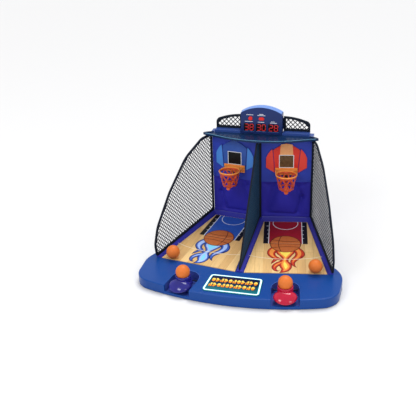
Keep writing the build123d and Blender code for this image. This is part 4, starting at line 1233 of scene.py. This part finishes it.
class HOOP_OT_badge(Step, bpy.types.Operator):
    """Badge plate with a printed neon border drawn with a painted glow, and a plain pattern"""
    bl_idname = "hoop.badge"
    bl_label = "Badge"

    def build(self):
        paint(self.plate(), "badge_plate")
        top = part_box("badge_plate")[1][2]
        self.border(top)
        self.tiles(top)

    def outline(self, inset, count=8):
        """Rounded outline of the plate, inset by some millimetres."""
        radius = BADGE_RADIUS - inset
        points = []
        for (mx, my), start in zip(BADGE_CORNERS, (-pi / 2, 0, pi / 2, pi)):
            for i in range(count + 1):
                t = start + pi / 2 * i / count
                points.append((mx + radius * cos(t), my + radius * sin(t)))
        return points

    def ring(self, name, outer, inner, z, material):
        bm = bmesh.new()
        a = [bm.verts.new((x * MM, y * MM, z)) for x, y in self.outline(outer)]
        b = [bm.verts.new((x * MM, y * MM, z)) for x, y in self.outline(inner)]
        for i in range(len(a)):
            k = (i + 1) % len(a)
            bm.faces.new((a[i], a[k], b[k], b[i]))
        piece(name, bm, material, "machine", smooth=False, recalc=False)

    def border(self, top):
        """Printed white neon line with a cyan glow on both sides, both drawn emitting as a painted glow."""
        self.ring("badge_cyan_painted_glow", 0.7, 5.6, top + LAYER, finish("glow"))
        self.ring("badge_white_painted_glow", 1.9, 4.3, top + 2 * LAYER, finish("neon"))

    def tiles(self, top):
        """Two rows of plain marks, yellow above and orange below, with a dark shadow."""
        rows = ((-118.5, 11, 0), (-136.5, 11, 2))
        upper, lower, shade = bmesh.new(), bmesh.new(), bmesh.new()
        for y, count, shift in rows:
            for i in range(count):
                x = (i - (count - 1) / 2) * TILE_PITCH - shift
                shape = TILES[(i + shift) % len(TILES)]
                for ring in shape:
                    for bm, half, lift, move in ((shade, None, 2, 0.9), (lower, None, 3, 0.0),
                                                 (upper, 0.0, 4, 0.0)):
                        points = [(x + px * TILE_HALF + move, y + py * TILE_HALF_HEIGHT - move)
                                  for px, py in ring]
                        if half is not None:
                            points = above(points, y + half)
                        if len(points) > 2:
                            bm.faces.new([bm.verts.new((px * MM, py * MM, top + lift * LAYER))
                                          for px, py in points])
        piece("badge_tiles_shade", shade, finish("badge shade"), "machine", smooth=False, recalc=False)
        piece("badge_tiles_low", lower, finish("badge orange"), "machine", smooth=False, recalc=False)
        piece("badge_tiles_high", upper, finish("badge yellow"), "machine", smooth=False, recalc=False)

    def plate(self):
        """Printed plate that runs from navy at the rear to teal at the front."""
        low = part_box("badge_plate")[0]
        material, tree, shader, coords = material_start("Printed badge")
        split = add(tree, "ShaderNodeSeparateXYZ", {"Vector": coords})
        rise = add(tree, "ShaderNodeMapRange", {"Value": split.outputs["Y"], "From Min": low[1] + 6 * MM,
                                                "From Max": low[1] + 36 * MM})
        mixed = add(tree, "ShaderNodeMix", {"Factor": rise.outputs["Result"], "A": linear("15707c"),
                                            "B": linear("101a3c")}, data_type="RGBA")
        tree.links.new(mixed.outputs["Result"], shader.inputs["Base Color"])
        shader.inputs["Roughness"].default_value = 0.22
        return material


# Lever cross-sections in lane millimetres: v, half width, underside and top.
LAUNCHER = ((-99.9, 2.0, 11.9, 12.6), (-99.4, 7.0, 11.8, 14.6), (-97.6, 12.0, 11.7, 17.8),
            (-94.0, 17.0, 11.5, 21.6), (-89.0, 21.0, 11.0, 25.6), (-83.0, 23.0, 9.6, 28.8),
            (-77.5, 23.2, 8.2, 29.6), (-72.0, 21.6, 8.0, 27.0), (-67.0, 19.0, 7.8, 25.6),
            (-62.0, 17.0, 7.4, 25.4), (-56.0, 15.8, 6.8, 24.8), (-51.0, 13.6, 5.2, 22.6),
            (-46.5, 10.0, 4.4, 17.6), (-42.0, 9.6, 4.2, 14.6), (-38.6, 9.4, 4.2, 13.2),
            (-37.6, 5.0, 5.5, 12.0))
# The cup's wall and rolled rim as (radius, height), then the bowl that the ball sits in.
CUP_V = -66.0
CUP_WALL = [(15.4, 18.0), (15.2, 24.0), (15.2, 29.0), (15.1, 31.8), (14.6, 33.0), (13.7, 33.4), (12.8, 33.2)]
BOWL_RADIUS, BOWL_MIDDLE_Z = 14.4, 40.2
BOWL_STEPS = (12.3, 11.5, 10.0, 8.0, 5.5, 3.0, 0.5)


class HOOP_OT_launchers(Step, bpy.types.Operator):
    """Ball launchers"""
    bl_idname = "hoop.launchers"
    bl_label = "Launchers"

    def build(self):
        for side, lane in LANES.items():
            bm = bmesh.new()
            rings = [self.section(lane, *row) for row in LAUNCHER]
            loft(bm, rings)
            self.cup(bm, lane)
            body = piece(f"launcher_skin_{side}", bm, finish(f"launcher {side}"), f"launcher_{side}",
                         stands_for=[f"launcher_{side}"])
            soft = body.modifiers.new("Smooth", "SUBSURF")
            soft.levels = soft.render_levels = 1

    def section(self, lane, v, half, low, high):
        """Domed cross-section of the lever at v, flatter underneath."""
        waist = low + (high - low) * 0.34
        ring = []
        for i in range(36):
            t = 2 * pi * i / 36
            rise = (high - waist) if sin(t) > 0 else (waist - low)
            ring.append(lane.at(half * cos(t) * MM, v * MM, (waist + rise * sin(t)) * MM))
        return ring

    def cup(self, bm, lane):
        """Round cup with a rolled rim under the ball."""
        bowl = [(r, BOWL_MIDDLE_Z - sqrt(BOWL_RADIUS ** 2 - r ** 2)) for r in BOWL_STEPS]
        turns = [2 * pi * i / 40 for i in range(40)]
        loft(bm, [[lane.at(radius * cos(t) * MM, (CUP_V + radius * sin(t)) * MM, z * MM) for t in turns]
                  for radius, z in CUP_WALL + bowl])


# Mould seam round each ball's middle, as shares of its radius.
SEAM_WIDTH, SEAM_RISE = 0.03, 0.003


class HOOP_OT_balls(Step, bpy.types.Operator):
    """Game balls"""
    bl_idname = "hoop.balls"
    bl_label = "Balls"

    def build(self):
        for kind in ("launcher_ball", "court_ball"):
            for side in SIDES:
                node = f"{kind}_{side}"
                low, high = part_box(node)
                middle = Vector([(a + b) / 2 for a, b in zip(low, high)])
                radius = (high[2] - low[2]) / 2
                bm = bmesh.new()
                bmesh.ops.create_icosphere(bm, subdivisions=5, radius=radius)
                bmesh.ops.rotate(bm, cent=(0, 0, 0), matrix=Matrix.Rotation(0.7, 3, "X"), verts=bm.verts)
                for vert in bm.verts:
                    line = abs(vert.co.z) / radius
                    if line < SEAM_WIDTH:
                        vert.co *= 1 + SEAM_RISE * (1 - line / SEAM_WIDTH)
                bmesh.ops.translate(bm, vec=middle, verts=bm.verts)
                piece(f"{node}_skin", bm, finish("ball"), node, stands_for=[node])


# ---------------------------------------------------------------- stage

CAMERA_AT = (0.2617, -1.1843, 0.6828)
CAMERA_RIGHT = (0.9709, 0.2385, -0.0229)
CAMERA_UP = (-0.0818, 0.4199, 0.9039)
CAMERA_LENS = 57.0
CAMERA_SHIFT = (-0.0453, 0.0188)


class HOOP_OT_stage(Step, bpy.types.Operator):
    """Floor, soft studio light and camera"""
    bl_idname = "hoop.stage"
    bl_label = "Stage"

    def build(self):
        scene = bpy.context.scene
        scene.view_settings.view_transform = "Standard"
        bm = bmesh.new()
        bmesh.ops.create_grid(bm, x_segments=1, y_segments=1, size=40.0)
        mesh = bpy.data.meshes.new("floor")
        bm.to_mesh(mesh)
        bm.free()
        floor = bpy.data.objects.new("floor", mesh)
        floor.location.z = -0.0002
        scene.collection.objects.link(floor)
        material, _, shader, _ = material_start("Pale paper floor")
        shader.inputs["Base Color"].default_value = (0.77, 0.77, 0.775, 1)
        shader.inputs["Roughness"].default_value = 0.9
        mesh.materials.append(material)
        self.camera(scene)
        self.lights(scene)

    def camera(self, scene):
        data = bpy.data.cameras.new("camera")
        data.lens = CAMERA_LENS
        data.sensor_width = 36.0
        data.shift_x, data.shift_y = CAMERA_SHIFT
        data.clip_start = 0.01
        camera = bpy.data.objects.new("camera", data)
        right, up = Vector(CAMERA_RIGHT).normalized(), Vector(CAMERA_UP).normalized()
        back = right.cross(up).normalized()
        up = back.cross(right)
        turn = Matrix((right, up, back)).transposed().to_4x4()
        camera.matrix_world = Matrix.Translation(CAMERA_AT) @ turn
        scene.collection.objects.link(camera)
        scene.camera = camera

    def lights(self, scene):
        world = bpy.data.worlds.new("studio")
        scene.world = world
        world.use_nodes = True
        back = world.node_tree.nodes["Background"]
        back.inputs["Color"].default_value = (1, 1, 1, 1)
        back.inputs["Strength"].default_value = 0.74
        data = bpy.data.lights.new("overhead", "SUN")
        data.energy = 1.6
        data.angle = radians(32)
        sun = bpy.data.objects.new("overhead", data)
        sun.rotation_euler = Vector((-0.08, -0.40, -1.0)).to_track_quat("-Z", "Y").to_euler()
        scene.collection.objects.link(sun)
        rows = (("front left", (-0.7, -1.5, 1.5), 0.6, 10.0), ("front right", (1.1, -1.2, 1.0), 0.6, 4.0))
        for name, spot, size, power in rows:
            data = bpy.data.lights.new(name, "AREA")
            data.size = size
            data.energy = power
            lamp = bpy.data.objects.new(name, data)
            lamp.location = spot
            aim = Vector((0, 0, 0.12)) - Vector(spot)
            lamp.rotation_euler = aim.to_track_quat("-Z", "Y").to_euler()
            scene.collection.objects.link(lamp)


STEPS = (HOOP_OT_base, HOOP_OT_courts, HOOP_OT_wall, HOOP_OT_boards, HOOP_OT_hoops, HOOP_OT_nets,
         HOOP_OT_top, HOOP_OT_badge, HOOP_OT_launchers, HOOP_OT_balls, HOOP_OT_stage)


class HOOP_PT_panel(bpy.types.Panel):
    """Lists the machine's sizes, colours and building steps"""
    bl_idname = "HOOP_PT_panel"
    bl_label = "Basketball machine"
    bl_space_type = "VIEW_3D"
    bl_region_type = "UI"
    bl_category = "Basketball"

    def draw(self, context):
        for key in HoopGameSettings.__annotations__:
            self.layout.prop(context.scene.hoop_game, key)
        for step in STEPS:
            self.layout.operator(step.bl_idname)


CLASSES = (HoopGameSettings,) + STEPS + (HOOP_PT_panel,)


def register():
    for cls in CLASSES:
        bpy.utils.register_class(cls)
    bpy.types.Scene.hoop_game = bpy.props.PointerProperty(type=HoopGameSettings)


def unregister():
    del bpy.types.Scene.hoop_game
    for cls in reversed(CLASSES):
        bpy.utils.unregister_class(cls)


def main():
    register()
    for step in STEPS:
        group, name = step.bl_idname.split(".")
        getattr(getattr(bpy.ops, group), name)()
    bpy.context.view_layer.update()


if __name__ == "__main__":
    main()
